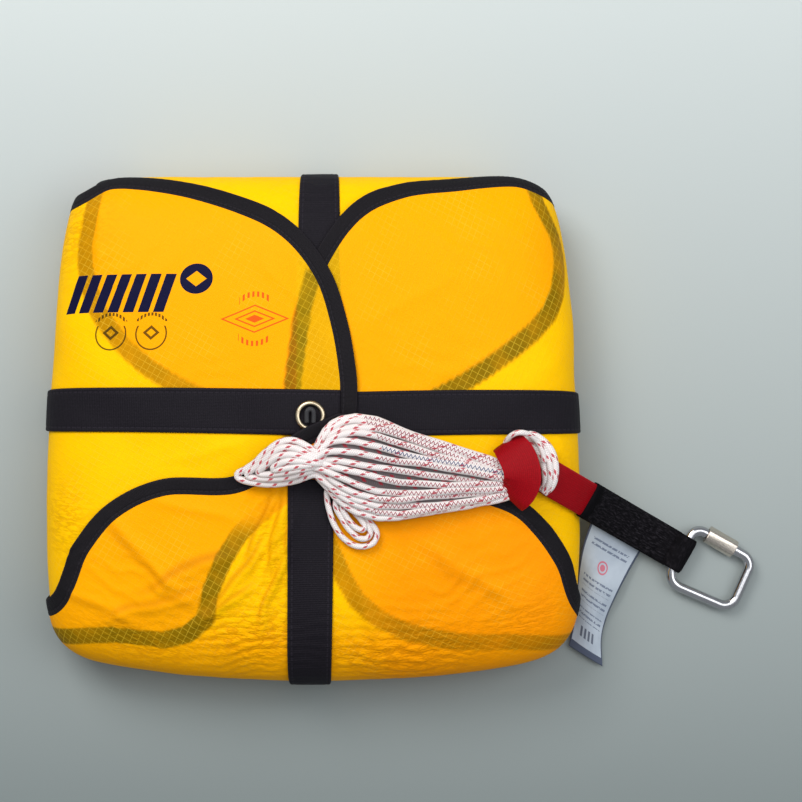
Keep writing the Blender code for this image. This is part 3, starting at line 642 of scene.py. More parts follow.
def stack_height(u, v, below):
    """Height over the skin of the underside of the layer that lies on the layers below it."""
    height = np.full(np.broadcast(u, v).shape, PLY_GAP)
    for layer in LAYERS[:below]:
        height = height + FLAP_LIFT * rise(depth_inside(FLAP_OUTLINES[layer], u, v))
        height = height + TAPE_LIFT * rise(depth_inside(TAPE_OUTLINES[layer], u, v))
    if below > 2:
        from_eyelet = np.hypot(u - EYELET_PLACE[0], v - EYELET_PLACE[1])
        height = height + EYELET_LIFT * rise(EYELET_RADIUS - from_eyelet)
    return height * shoulder_ease(u, v)


def pack_top(u, v):
    """Height over the skin of everything sewn to the pack."""
    return stack_height(np.asarray(u, float), np.asarray(v, float), len(LAYERS))


def over_pack(u, v, height):
    """Points at a height over everything sewn to the pack."""
    return skin(u, v, pack_top(u, v) + height)


def noise_field(u, v, size, seed):
    """Smooth noise from -1 to 1 over pattern coordinates."""
    flat = [noise.noise(Vector((a / size, b / size, seed))) for a, b in zip(np.ravel(u), np.ravel(v))]
    return np.array(flat).reshape(np.shape(u))


def wander_of(u, v):
    """Slow wander of the folds, from -1 to 1."""
    return noise_field(u, v, WANDER_SIZE, 3.1)


def creases(u, v, bend):
    """Distance from each crease, how far it runs there from 0 to 1, its half width and height."""
    for u0, v0, u1, v1, width, height in CREASES:
        side = np.array([u1 - u0, v1 - v0]) * MM
        length = np.linalg.norm(side)
        share = ((u - u0 * MM) * side[0] + (v - v0 * MM) * side[1]) / length ** 2
        off = ((u - u0 * MM) * -side[1] + (v - v0 * MM) * side[0]) / length + FOLD_WANDER * bend
        window = rise_between(share, -0.05, 0.3) * (1 - rise_between(share, 0.65, 1.05))
        yield off, window, width * MM, height


def wrinkles(u, v):
    """Lift of the cloth's creases and crinkles over the smooth pack; every ply follows it."""
    lift = np.zeros(np.shape(u))
    bend = wander_of(u, v)
    fine = noise_field(u, v, CRUMPLE_SIZE, 8.7)
    for index, (cu, cv, ru, rv, turn, pitch, height) in enumerate(CRINKLES):
        du = u - cu * MM
        dv = v - cv * MM
        window = np.exp(-(du / (ru * MM)) ** 2 - (dv / (rv * MM)) ** 2)
        angle = math.radians(turn)
        across = -du * math.sin(angle) + dv * math.cos(angle)
        phase = 2 * math.pi * (across / (pitch * MM) + 0.9 * bend + 0.22 * fine) + index
        ridge = (1 - np.abs(np.sin(phase / 2))) ** 1.25
        lift += height * MM * window * ridge * (0.45 + 0.55 * np.clip(1 + 1.6 * fine, 0, 1))
    for off, window, width, height in creases(u, v, bend):
        lift += height * MM * window * np.exp(-np.abs(off / width) ** 1.3)
    return lift + 0.5 * MM * (bend * 0.5 + 0.5)


def creased_at(u, v):
    """How crumpled the cloth is, from 0 to 1."""
    share = np.zeros(np.shape(u))
    for cu, cv, ru, rv, strength in CREASED:
        near = ((u / MM - cu) / ru) ** 2 + ((v / MM - cv) / rv) ** 2
        share = np.maximum(share, strength * np.exp(-near))
    return share


def fold_plies_and_shade_at(u, v):
    """How much cloth is doubled up on the shadow side of the creases, from 0 to 1; it marks both the doubled
    cloth and the painted shade there.
    """
    share = np.zeros(np.shape(u))
    for off, window, width, height in creases(u, v, wander_of(u, v)):
        shadow_flank = np.exp(-((off + width * 0.9) / (width * 0.7)) ** 2)
        share = np.maximum(share, np.clip((height - 0.9) / 1.1, 0, 1) * window * shadow_flank)
    return share


# ---------------------------------------------------------------- meshes

def add_mesh(name, points, faces, uv, made_of, attributes=None):
    """Object of points and quads, with its UV map by corner, attributes by point, and material."""
    mesh = bpy.data.meshes.new(name)
    mesh.vertices.add(len(points))
    mesh.vertices.foreach_set("co", np.asarray(points, float).ravel())
    sizes = np.array([len(f) for f in faces])
    corners = np.concatenate([np.asarray(f) for f in faces])
    mesh.loops.add(len(corners))
    mesh.loops.foreach_set("vertex_index", corners)
    mesh.polygons.add(len(faces))
    mesh.polygons.foreach_set("loop_start", np.concatenate([[0], np.cumsum(sizes)[:-1]]))
    mesh.polygons.foreach_set("loop_total", sizes)
    mesh.update(calc_edges=True)
    layer = mesh.uv_layers.new(name="pattern")
    layer.data.foreach_set("uv", np.asarray(uv, float).ravel())
    for key, values in (attributes or {}).items():
        data = mesh.attributes.new(key, "FLOAT", "POINT")
        data.data.foreach_set("value", np.asarray(values, float).ravel())
    mesh.polygons.foreach_set("use_smooth", np.ones(len(faces), bool))
    mesh.materials.append(made_of)
    made = bpy.data.objects.new(name, mesh)
    bpy.context.scene.collection.objects.link(made)
    return made


def net(name, points, uv, made_of, thick, attributes=None):
    """Cloth over a grid of points, given its thickness away from the pack."""
    rows, columns = points.shape[:2]
    r, c = np.meshgrid(np.arange(rows - 1), np.arange(columns - 1), indexing="ij")
    a = (r * columns + c).ravel()
    faces = np.stack([a, a + 1, a + columns + 1, a + columns], -1)
    flat = np.asarray(uv).reshape(-1, 2)
    corners = flat[faces].reshape(-1, 2)
    made = add_mesh(name, points.reshape(-1, 3), list(faces), corners, made_of, attributes)
    mesh = made.data
    heart = Vector((0, 0, WAIST))
    votes = sum(face.normal.dot(face.center - heart) for face in mesh.polygons)
    if votes < 0:
        mesh.flip_normals()
    solidify = made.modifiers.new("thickness", "SOLIDIFY")
    solidify.thickness = thick
    solidify.offset = 1
    apply_modifiers(made)
    return made


def deselect():
    """Leaves nothing selected."""
    for other in bpy.context.view_layer.objects:
        other.select_set(False)


def choose(made):
    """Selects one object and makes it the active one."""
    deselect()
    made.select_set(True)
    bpy.context.view_layer.objects.active = made


def apply_modifiers(made):
    """Applies every modifier of one object."""
    choose(made)
    for modifier in list(made.modifiers):
        bpy.ops.object.modifier_apply(modifier=modifier.name)


def settle(made, finish):
    """Moves an object's place into its mesh, shades it smooth and gives it its finish."""
    choose(made)
    bpy.ops.object.transform_apply(location=True, rotation=True, scale=True)
    bpy.ops.object.shade_smooth_by_angle(angle=math.radians(40))
    made.data.materials.clear()
    made.data.materials.append(finish)
    made.data.name = made.name


def rework(made, change=None):
    """Changes an object's mesh and turns its faces outwards."""
    shape = bmesh.new()
    shape.from_mesh(made.data)
    if change:
        change(shape)
    bmesh.ops.recalc_face_normals(shape, faces=shape.faces)
    if shape.calc_volume(signed=True) < 0:
        bmesh.ops.reverse_faces(shape, faces=shape.faces)
    shape.to_mesh(made.data)
    shape.free()


def tube_faces(count, sides, along, around, closed=False):
    """Quads between rings of points, and their corners' UV; a closed tube goes back to its first ring."""
    r, s = np.meshgrid(np.arange(count if closed else count - 1), np.arange(sides), indexing="ij")
    r, s = r.ravel(), s.ravel()
    after, beside = (r + 1) % count, (s + 1) % sides
    faces = np.stack([r * sides + s, r * sides + beside, after * sides + beside, after * sides + s], -1)
    reach = np.append(along, along[0])
    corners = ((r, s), (r, s + 1), (r + 1, s + 1), (r + 1, s))
    uv = np.stack([np.stack([reach[a], around[b]], -1) for a, b in corners], 1)
    return list(faces), uv.reshape(-1, 2)


def swept(name, rings, along, around, made_of, attributes=None):
    """Closed tube through rings of points, with UV along and around it, and flat ends."""
    rings = np.asarray(rings, float)
    count, sides = rings.shape[:2]
    faces, uv = tube_faces(count, sides, along, around)
    faces += [list(range(sides))[::-1], [(count - 1) * sides + k for k in range(sides)]]
    caps = [np.stack([np.full(sides, along[0]), around[:sides][::-1]], -1),
            np.stack([np.full(sides, along[-1]), around[:sides]], -1)]
    made = add_mesh(name, rings.reshape(-1, 3), faces, np.vstack([uv, *caps]), made_of, attributes)
    rework(made)
    return made


def lengths(path):
    """Distance along a path at each of its points."""
    return np.concatenate([[0], np.cumsum(np.linalg.norm(np.diff(path, axis=0), axis=1))])


def round_rings(path, half_width, half_height, sides):
    """Rings of an oval section along a path, and how far round each point and the seam lie."""
    ahead = unit(np.gradient(path, axis=0))
    side = unit(np.cross(ahead, (0, 0, 1.0)))
    up = np.cross(side, ahead)
    angles = np.linspace(0, 2 * math.pi, sides + 1)
    rings = [side * math.cos(a) * half_width + up * math.sin(a) * half_height for a in angles[:-1]]
    return np.stack(rings, 1) + path[:, None], angles / (2 * math.pi)


def cord_piece(name, path, radius, made_of, sewn=(1, 1), phase=0.0, sides=14):
    """Round line along a path, with its sewn stretch marked from share to share."""
    along = lengths(path)
    rings, around = round_rings(path, radius, radius, sides)
    shares = along / along[-1]
    stitched = ((shares >= sewn[0]) & (shares <= sewn[1]) & (sewn[1] > sewn[0])).astype(float)
    made = swept(name, rings, along + phase, around, made_of, {"sewn": np.repeat(stitched, sides)})
    return made


# ---------------------------------------------------------------- materials

class Value:
    """A number that a material's nodes carry; arithmetic on it adds Math nodes."""

    def __init__(self, finish, socket):
        self.finish = finish
        self.socket = socket

    def math(self, operation, *others):
        """Result of a Math node over this number and others."""
        node = self.finish.node("ShaderNodeMath", {"operation": operation},
                                {index: one for index, one in enumerate((self,) + others)})
        return Value(self.finish, node.outputs[0])

    def __add__(self, other):
        return self.math("ADD", other)

    __radd__ = __add__

    def __sub__(self, other):
        return self.math("SUBTRACT", other)

    def __rsub__(self, other):
        return (self * -1) + other

    def __mul__(self, other):
        return self.math("MULTIPLY", other)

    __rmul__ = __mul__

    def __truediv__(self, other):
        return self.math("DIVIDE", other)

    def __pow__(self, other):
        return self.math("POWER", other)

    def __abs__(self):
        return self.math("ABSOLUTE")

    def __gt__(self, other):
        return self.math("GREATER_THAN", other)

    def __lt__(self, other):
        return self.math("LESS_THAN", other)

    def fraction(self):
        return self.math("FRACT")

    def either(self, other):
        """The larger of two numbers."""
        return self.math("MAXIMUM", other)

    def at_most(self, other):
        """The smaller of two numbers."""
        return self.math("MINIMUM", other)

    def folded(self):
        """Distance to the nearest whole number."""
        return abs((self + 0.5).fraction() - 0.5)

    def between(self, low, high):
        """1 between low and high, 0 elsewhere."""
        return (self > low) * (self < high)

    def eased(self, low, high):
        """Smooth step from 0 at low to 1 at high."""
        node = self.finish.node("ShaderNodeMapRange", {"interpolation_type": "SMOOTHSTEP"},
                                {"Value": self, "From Min": low, "From Max": high})
        return Value(self.finish, node.outputs[0])


class Finish:
    """A Principled material under a plain name, with its nodes added by type, settings and inputs."""

    def __init__(self, name, **constants):
        self.material = bpy.data.materials.new(name)
        self.material.use_nodes = True
        self.tree = self.material.node_tree
        self.shader = self.tree.nodes["Principled BSDF"]
        for key, value in constants.items():
            self.shader.inputs[key.replace("_", " ")].default_value = value

    def node(self, kind, settings=None, inputs=None):
        made = self.tree.nodes.new(kind)
        for key, value in (settings or {}).items():
            setattr(made, key, value)
        for key, value in (inputs or {}).items():
            self.feed(made.inputs[key], value)
        return made

    def feed(self, socket, value):
        """Links a value or a node's output to a socket, or sets the socket's own number or colour."""
        if isinstance(value, Value):
            value = value.socket
        if isinstance(value, bpy.types.NodeSocket):
            self.tree.links.new(value, socket)
        else:
            socket.default_value = (*value, 1) if socket.type == "RGBA" else value

    def scaled(self, vector, per):
        """A vector in units of per metres."""
        made = self.node("ShaderNodeVectorMath", {"operation": "SCALE"}, {0: vector, "Scale": 1 / per})
        return made.outputs[0]

    def place(self, per=1.0):
        """The UV map's two numbers in units of per metres, and the scaled vector."""
        uv = self.node("ShaderNodeUVMap", {"uv_map": "pattern"})
        spot = self.scaled(uv.outputs[0], per)
        parts = self.node("ShaderNodeSeparateXYZ", None, {0: spot})
        return Value(self, parts.outputs[0]), Value(self, parts.outputs[1]), spot

    def object_place(self, per=1.0):
        """The object coordinates in units of per metres."""
        return self.scaled(self.node("ShaderNodeTexCoord").outputs["Object"], per)

    def attribute(self, name):
        """Number that the mesh carries under a name."""
        made = self.node("ShaderNodeAttribute", {"attribute_name": name})
        return Value(self, made.outputs["Fac"])

    def noise(self, vector, scale, detail=2.0, rough=0.5):
        """Noise from 0 to 1."""
        made = self.node("ShaderNodeTexNoise", None,
                         {"Vector": vector, "Scale": scale, "Detail": detail, "Roughness": rough})
        return Value(self, made.outputs[0])

    def mix(self, factor, one, two):
        """Colour between one and two."""
        made = self.node("ShaderNodeMix", {"data_type": "RGBA", "blend_type": "MIX", "clamp_factor": True},
                         {0: factor, 6: one, 7: two})
        return made.outputs[2]

    def stretched(self, vector, along, across):
        """A vector scaled by different amounts along and across."""
        made = self.node("ShaderNodeMapping", None, {"Vector": vector, "Scale": (along, across, 1.0)})
        return made.outputs[0]

    def colour(self, source):
        self.feed(self.shader.inputs["Base Color"], source)

    def roughness(self, value):
        self.feed(self.shader.inputs["Roughness"], value)

    def bump(self, height, depth, strength=1.0):
        """Relief of height, which is 0 to 1, at this depth in metres."""
        made = self.node("ShaderNodeBump", None, {"Height": height, "Distance": depth, "Strength": strength})
        self.feed(self.shader.inputs["Normal"], made.outputs[0])


def cloth_finish(colours, printed):
    """Coated ripstop nylon: pale lattice, weave, plies beneath showing through, printed marks, painted shade
    in its crease lines, and on the shadow side of its folds a deeper colour that is partly doubled cloth and
    partly painted shade.
    """
    finish = Finish("printed_cloth" if printed else "cloth", Roughness=0.5, Specular_IOR_Level=0.04)
    u, v, spot = finish.place(MM)
    plies = finish.attribute("plies")
    hidden = finish.attribute("hidden")
    creased = finish.attribute("creased")
    mottle = finish.noise(spot, 0.035, 3, 0.6)
    # The plies attribute also carries painted shade at the bottom flap's base.
    base = finish.mix((plies * 0.5).at_most(1.0), colours.cloth_thin[:], colours.cloth_thick[:])
    base = finish.mix(mottle.eased(0.3, 0.75) * 0.25, base, srgb(246, 166, 0))
    fold = abs(finish.noise(finish.stretched(spot, 0.55, 1.35), 0.16, 3, 0.55) - 0.5) * 2.0
    # Painted shade along the crease lines of crumpled cloth.
    crease_line_shade = (1 - fold.eased(0.0, 0.16)) * creased
    one_way = ((u * 0.47 + v * 0.88) / RIPSTOP_PITCH).folded()
    other_way = ((u * 0.88 - v * 0.47) / RIPSTOP_PITCH).folded()
    lattice = 1 - one_way.at_most(other_way).eased(0.02, 0.07)
    warp = (u * 2.4).folded() + (v * 2.4).folded()
    # Painted shade of the crease lines, and on the shadow side of the folds a deeper colour that is partly
    # doubled cloth and partly painted shade.
    painted_fold_shade = (crease_line_shade * 0.5).either(finish.attribute("fold_plies_and_shade") * 0.6)
    base = finish.mix(painted_fold_shade, base, srgb(200, 118, 0))
    olive = finish.mix(lattice * 0.5, srgb(98, 88, 4), srgb(206, 174, 40))
    base = finish.mix(hidden * (mottle.eased(0.2, 0.6) * 0.35 + 0.65), base, olive)
    base = finish.mix(lattice * (mottle.eased(0.45, 0.7) * 0.16 + 0.03), base, srgb(255, 222, 84))
    if printed:
        base = print_marks(finish, base, u, v)
    finish.colour(base)
    finish.roughness(mottle * 0.16 + 0.42 + lattice * 0.05)
    crumple = finish.noise(spot, 0.12, 4, 0.62)
    relief = crumple * 0.45 + lattice * 0.06 + warp * 0.03 + fold.at_most(0.4) * creased * 1.4
    finish.bump(relief, 1.1 * MM, 0.8)
    return finish.material


def print_marks(finish, base, u, v):
    """Plain printed shapes on the cloth: slanted blocks, an oval, two open rings and a thin red lozenge."""
    across, up = u - BLOCKS_PLACE[0], v - BLOCKS_PLACE[1]
    slant = across - up * BLOCK_SLANT
    blocks = slant.between(0, BLOCKS_LENGTH) * ((slant / BLOCK_PITCH).fraction() < BLOCK_SHARE)
    blocks = blocks * (abs(up) < BLOCK_HALF_HEIGHT)
    across, up = u - OVAL_PLACE[0], v - OVAL_PLACE[1]
    oval = ((across / OVAL_HALVES[0]) ** 2.0 + (up / OVAL_HALVES[1]) ** 2.0) < 1.0
    pale = (abs(across) / OVAL_PALE_HALVES[0] + abs(up) / OVAL_PALE_HALVES[1]) < 1.0
    base = finish.mix(blocks.either(oval * (1 - pale)), base, srgb(20, 20, 52))
    for cu, cv in RING_PLACES:
        across, up = u - cu, v - cv
        away = (across ** 2.0 + up ** 2.0) ** 0.5
        ring = away.between(*RING_RADII) * (up < 4.5)
        inside = abs(across) / RING_LOZENGE_HALVES[0] + abs(up - 0.6) / RING_LOZENGE_HALVES[1]
        inside = inside.between(0.55, 1.0)
        dashes = away.between(*RING_DASHES) * (up > 7.0) * ((u / 2.1).fraction() < 0.6)
        base = finish.mix(ring.either(inside).either(dashes) * 0.85, base, srgb(44, 34, 14))
    across, up = u - LOZENGE_PLACE[0], v - LOZENGE_PLACE[1]
    lozenge = abs(across / LOZENGE_HALVES[0]) + abs(up / LOZENGE_HALVES[1])
    outline = lozenge.between(0.9, 1.0).either(lozenge.between(0.5, 0.6)).either(lozenge < 0.28)
    away = (across ** 2.0 + up ** 2.0) ** 0.5
    dashes = away.between(*LOZENGE_DASHES) * (abs(across) < 9.5) * ((u / 2.9).fraction() < 0.45)
    return finish.mix(outline.either(dashes) * 0.85, base, srgb(226, 66, 26))


def body_finish(colours):
    """Plain cloth of the pack under its flaps."""
    finish = Finish("pack_cloth", Roughness=0.5, Sheen_Weight=0.1)
    spot = finish.object_place(MM)
    mottle = finish.noise(spot, 0.04, 3, 0.6)
    finish.colour(finish.mix(mottle.eased(0.3, 0.7), colours.cloth_thick[:], srgb(224, 140, 0)))
    finish.bump(finish.noise(spot, 0.2, 4, 0.6), 0.8 * MM, 0.7)
    return finish.material


def ribbed_finish(name, colour, light, rib, width, rows, along_ribs=False, rough=0.62):
    """Woven tape: ribs across or along it, fuzzy lighter yarns, and rows of stitches."""
    finish = Finish(name, Roughness=rough, Specular_IOR_Level=0.12)
    along, across, spot = finish.place(MM)
    yarn = ((across if along_ribs else along) / rib).folded()
    cross = ((along if along_ribs else across) / (rib * 0.8)).folded()
    weave = (1 - yarn * 2.0) * 0.7 + cross * 0.6
    fuzz = finish.noise(spot, 0.9, 3, 0.7)
    base = finish.mix((weave * 0.35 + fuzz.eased(0.45, 0.8) * 0.4), colour, light)
    relief = weave * 0.5 + fuzz * 0.25
    for place in rows:
        seam = (abs(across - place) < 0.42) * ((along / 3.2).fraction() < 0.74)
        base = finish.mix(seam * 0.25, base, tuple(min(1, c * 1.5 + 0.005) for c in light))
        relief = relief + seam * 0.5 - (1 - abs(across - place).eased(0.5, 1.3)) * 0.35
    edge = (abs(across - width / 2) > width / 2 - 0.9)
    base = finish.mix(edge * 0.35, base, light)
    finish.colour(base)
    finish.roughness(fuzz * 0.2 + (rough - 0.08))
    finish.bump(relief, 0.4 * MM, 0.8)
    return finish.material


def line_finish(name, thread, colours, lit_share=1.0):
    """Braided sheathed line: fine braid, slanted tracer ticks, zigzag stitches where it is sewn, and painted
    shade when its lit share is below 1.
    """
    finish = Finish(name, Roughness=0.6, Sheen_Weight=0.2)
    along, around, spot = finish.place(1.0)
    along = along * 1000.0
    braid = ((along / 1.25 + around * 6.0).folded() * (along / 1.25 - around * 6.0).folded()) * 4.0
    shade = finish.noise(spot, 60.0, 2, 0.5)
    base = finish.mix(braid.eased(0.0, 0.35), colours.line_shade[:], colours.line_colour[:])
    base = finish.mix(shade.eased(0.35, 0.75) * 0.3, base, colours.line_shade[:])
    # Painted shade darkens line that lies deep between the outer strands.
    if lit_share < 1:
        base = finish.mix(1 - lit_share, base, srgb(52, 34, 40))
    sewn = finish.attribute("sewn") > 0.5
    tick = ((along / 9.5 - around * 1.5).fraction() < 0.23) * ((around * 5.5 + 0.1).fraction() < 0.62)
    tick = tick * (1 - sewn * ((along / 19.0).fraction() < 0.55))
    base = finish.mix(tick * 0.92, base, srgb(184, 10, 44))
    swing = ((along / 2.5).folded() - 0.25) * 0.36
    zigzag = abs(around - 0.25 - swing) < 0.040
    base = finish.mix(zigzag * sewn, base, thread)
    finish.colour(base)
    finish.bump(braid * 0.6 + zigzag * sewn * 0.6, 0.35 * MM, 0.7)
    return finish.material


def sleeve_finish(colours):
    """Brushed black cloth with a smooth hem and fine lengthwise scuffs."""
    finish = Finish("sleeve_cloth", Roughness=0.85, Specular_IOR_Level=0.06)
    along, around, spot = finish.place(MM)
    brush = finish.noise(finish.stretched(spot, 0.35, 1.6), 0.7, 5, 0.75)
    broad = finish.noise(spot, 0.12, 3, 0.6)
    hem = along < 4.6
    rough = (1 - hem) * (1 - along.eased(62, 74) * 0.6)
    base = finish.mix(brush.eased(0.45, 0.78) * rough * 0.8, colours.sleeve_colour[:], srgb(66, 62, 68))
    base = finish.mix(broad.eased(0.4, 0.75) * 0.25, base, srgb(26, 24, 28))
    seam = abs(along - 5.2) < 0.35
    base = finish.mix(seam, base, (0.003, 0.003, 0.003))
    finish.colour(base)
    finish.roughness(brush * 0.2 + 0.7)
    finish.bump(brush * rough * 0.8 + broad * 0.5 - seam * 0.6, 0.8 * MM, 0.85)
    return finish.material


def label_finish():
    """Coated label: pale ground, dark border and hem, and plain rows of small bars."""
    finish = Finish("label_cloth", Roughness=0.45, Sheen_Weight=0.1)
    down, across, spot = finish.place(MM)
    weave = (down * 1.6).folded() + (across * 1.6).folded()
    shade = finish.noise(spot, 0.05, 3, 0.6)
    base = finish.mix(shade.eased(0.3, 0.7), srgb(190, 200, 211), srgb(172, 183, 196))
    border = (across < 1.3).either(across > 35.1).either(down > 70.5)
    rows = down.between(7, 13.4).either(down.between(29, 36)).either(down.between(39, 45.6))
    rows = rows.either(down.between(49, 55.6))
    row = (((down - 7) / 3.2).fraction() < 0.4) * rows * across.between(5, 32)
    broken = finish.noise(spot, 0.7, 0, 0.5) > 0.4
    base = finish.mix(row * broken * 0.7, base, srgb(62, 76, 108))
    bars = down.between(59.5, 65.5) * across.between(9, 27) * ((across / 4.5).fraction() < 0.55)
    base = finish.mix(bars * 0.8, base, srgb(46, 54, 80))
    away = ((down - 21) ** 2.0 + (across - 18) ** 2.0) ** 0.5
    base = finish.mix((away < 2.0).either(away.between(3.0, 4.0)) * 0.8, base, srgb(206, 70, 96))
    base = finish.mix(border * 0.95, base, srgb(56, 66, 90))
    finish.colour(base)
    finish.bump(weave * 0.25 + shade * 0.8 + border * 0.3, 0.35 * MM, 0.6)
    return finish.material


def metal_finish(name, colour, rough, grain, scale):
    """Metal with fine handling marks."""
    finish = Finish(name, Roughness=rough, Metallic=1.0)
    spot = finish.object_place(MM)
    marks = finish.noise(spot, scale, 4, 0.65)
    smear = finish.noise(spot, 0.12, 2, 0.5)
    finish.colour(finish.mix(smear.eased(0.3, 0.8) * 0.5, colour, tuple(c * 0.82 for c in colour)))
    finish.roughness(marks * grain + (rough - grain / 2) + smear * 0.05)
    finish.bump(marks, 0.06 * MM, 0.5)
    return finish.material


def elastic_finish():
    """Woven elastic cord with a light fleck."""
    finish = Finish("elastic_cord", Roughness=0.7)
    along, around, spot = finish.place(1.0)
    braid = ((along * 900 + around * 5.0).folded() * (along * 900 - around * 5.0).folded()) * 4.0
    finish.colour(finish.mix(braid, (0.01, 0.01, 0.012), (0.08, 0.08, 0.09)))
    finish.bump(braid, 0.2 * MM, 0.7)
    return finish.material


def floor_finish(colours):
    """Pale floor with painted shade that darkens it towards the front."""
    finish = Finish("floor", Roughness=0.9)
    spot = finish.object_place(1.0)
    parts = finish.node("ShaderNodeSeparateXYZ", None, {0: spot})
    # Painted shade: the floor darkens towards the front as the light falls off.
    painted_falloff = Value(finish, parts.outputs[1]) * 1.4286 + 0.5 + finish.noise(spot, 6.0, 2, 0.5) * 0.01
    finish.colour(finish.mix(painted_falloff, colours.floor_shade[:], colours.floor_colour[:]))
    return finish.material


MADE_FINISHES = {}


def finish_of(name):
    """Material of a finish, made once."""
    settings = bpy.context.scene.parachute
    makers = {
        "printed_cloth": lambda: cloth_finish(settings, True),
        "cloth": lambda: cloth_finish(settings, False),
        "pack_cloth": lambda: body_finish(settings),
        "binding": lambda: ribbed_finish(
            "binding_tape", srgb(14, 12, 15), srgb(40, 36, 42), 0.75, BINDING_WIDTH / MM, (7.9,)),
        "tape": lambda: ribbed_finish(
            "closing_tape", srgb(15, 13, 18), srgb(42, 37, 46), 1.05, TAPE_WIDTH / MM, (2.6, 23.4)),
        "bridle": lambda: ribbed_finish(
            "bridle_webbing", srgb(128, 0, 10), srgb(184, 4, 24), 1.15, WEBBING_WIDTH / MM, (), True, 0.55),
        "line": lambda: line_finish("white_line", srgb(140, 8, 36), settings),
        "line_blue": lambda: line_finish("white_line_blue_thread", srgb(38, 46, 96), settings),
        # Inner lines in painted shade, seen deep between the strands.
        "line_in_painted_shade": lambda: line_finish("inner_line_painted_shade", srgb(140, 8, 36), settings, 0.16),
        "sleeve": lambda: sleeve_finish(settings),
        "label": label_finish,
        "steel": lambda: metal_finish("polished_steel", (0.50, 0.50, 0.52), 0.12, 0.10, 1.6),
        "nut": lambda: metal_finish("nut_steel", (0.68, 0.61, 0.53), 0.24, 0.12, 2.2),
        "eyelet": lambda: metal_finish("eyelet_metal", (0.60, 0.50, 0.35), 0.30, 0.12, 2.4),
        "elastic": elastic_finish,
        "floor": lambda: floor_finish(settings),
    }
    if name not in MADE_FINISHES:
        MADE_FINISHES[name] = makers[name]()
    return MADE_FINISHES[name]


def belongs(piece, slot, *nodes, body="pack"):
    """Puts a piece on the body it rides on and hides the frame nodes it stands for; the slot argument is not
    used.
    """
    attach(piece, body)
    if nodes:
        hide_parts(*nodes)


# ---------------------------------------------------------------- settings and operators

def colour_setting(name, description, default):
    """Colour property of the settings."""
    return bpy.props.FloatVectorProperty(name=name, description=description, default=default, size=3, min=0,
                                         max=1, subtype="COLOR")


def length_setting(name, description, default, least, most):
    """Length property of the settings, from values in millimetres."""
    return bpy.props.FloatProperty(name=name, description=description, default=default * MM, min=least * MM,
                                   max=most * MM, unit="LENGTH")


class ParachuteSettings(bpy.types.PropertyGroup):
    """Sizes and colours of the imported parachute."""

    cloth_thin: colour_setting("Single cloth", "Colour of one ply of cloth", srgb(255, 196, 0))
    cloth_thick: colour_setting("Stacked cloth", "Colour where plies lie on each other", srgb(246, 125, 0))
    line_colour: colour_setting("Line", "Colour of the lines", srgb(246, 241, 240))
    line_shade: colour_setting("Line shade", "Colour between the lines' yarns", srgb(206, 194, 190))
    sleeve_colour: colour_setting("Sleeve", "Colour of the bridle's sleeve", srgb(9, 8, 11))
    floor_colour: colour_setting("Floor", "Colour of the floor's pale end", (0.60, 0.645, 0.635))
    floor_shade: colour_setting("Floor shade", "Colour of the floor's shaded end", (0.125, 0.155, 0.155))
    line_diameter: length_setting("Line diameter", "Thickness of the lines", 4, 1, 8)
    cloth_gauge: length_setting("Cloth", "Thickness of the cloth", 0.5, 0.1, 1)


class MakeStage(bpy.types.Operator):
    """Camera, soft lights and the pale floor"""

    bl_idname = "parachute.stage"
    bl_label = "Stage"

    def execute(self, context):
        camera = bpy.data.cameras.new("camera")
        camera.sensor_width = 36
        camera.lens = CAMERA_LENS
        camera.clip_end = 20
        eye = bpy.data.objects.new("camera", camera)
        eye.location = CAMERA_PLACE
        context.scene.collection.objects.link(eye)
        context.scene.camera = eye
        for name, place, size, power, colour in LIGHTS:
            lamp = bpy.data.lights.new(name, "AREA")
            lamp.size = size
            lamp.energy = power
            lamp.color = colour
            light = bpy.data.objects.new(name, lamp)
            light.location = place
            light.rotation_euler = (-Vector(place)).to_track_quat("-Z", "Y").to_euler()
            context.scene.collection.objects.link(light)
        world = bpy.data.worlds.new("studio")
        world.use_nodes = True
        sky = world.node_tree.nodes["Background"]
        sky.inputs["Color"].default_value = SKY_COLOUR
        sky.inputs["Strength"].default_value = SKY_STRENGTH
        context.scene.world = world
        context.scene.view_settings.view_transform = "Standard"
        bpy.ops.mesh.primitive_plane_add(size=FLOOR_SIZE)
        floor = context.object
        floor.name = "floor"
        floor.data.materials.append(finish_of("floor"))
        return {"FINISHED"}


def hank_section(u, share, level):
    """Point of the hank at u: share across its upper side from 0 to 1, level plies in from the outside."""
    at, *columns = np.array(HANK, float).T
    upper, lower, height = (np.interp(u, at, column) for column in columns)
    half = (upper - lower) / 2
    angle = HANK_FAN[0] + share * HANK_FAN[1]
    squeeze = np.clip(1.15 - half / 24, 0.0, 0.62)
    inner = level * STRAND_PITCH * squeeze
    v = (upper + lower) / 2 + (half - 2.0 - inner) * np.cos(angle)
    z = 2.2 + (height - 4.4 - inner * 1.15) * (0.30 + 0.70 * np.sin(angle))
    return v, np.maximum(z, 2.2)


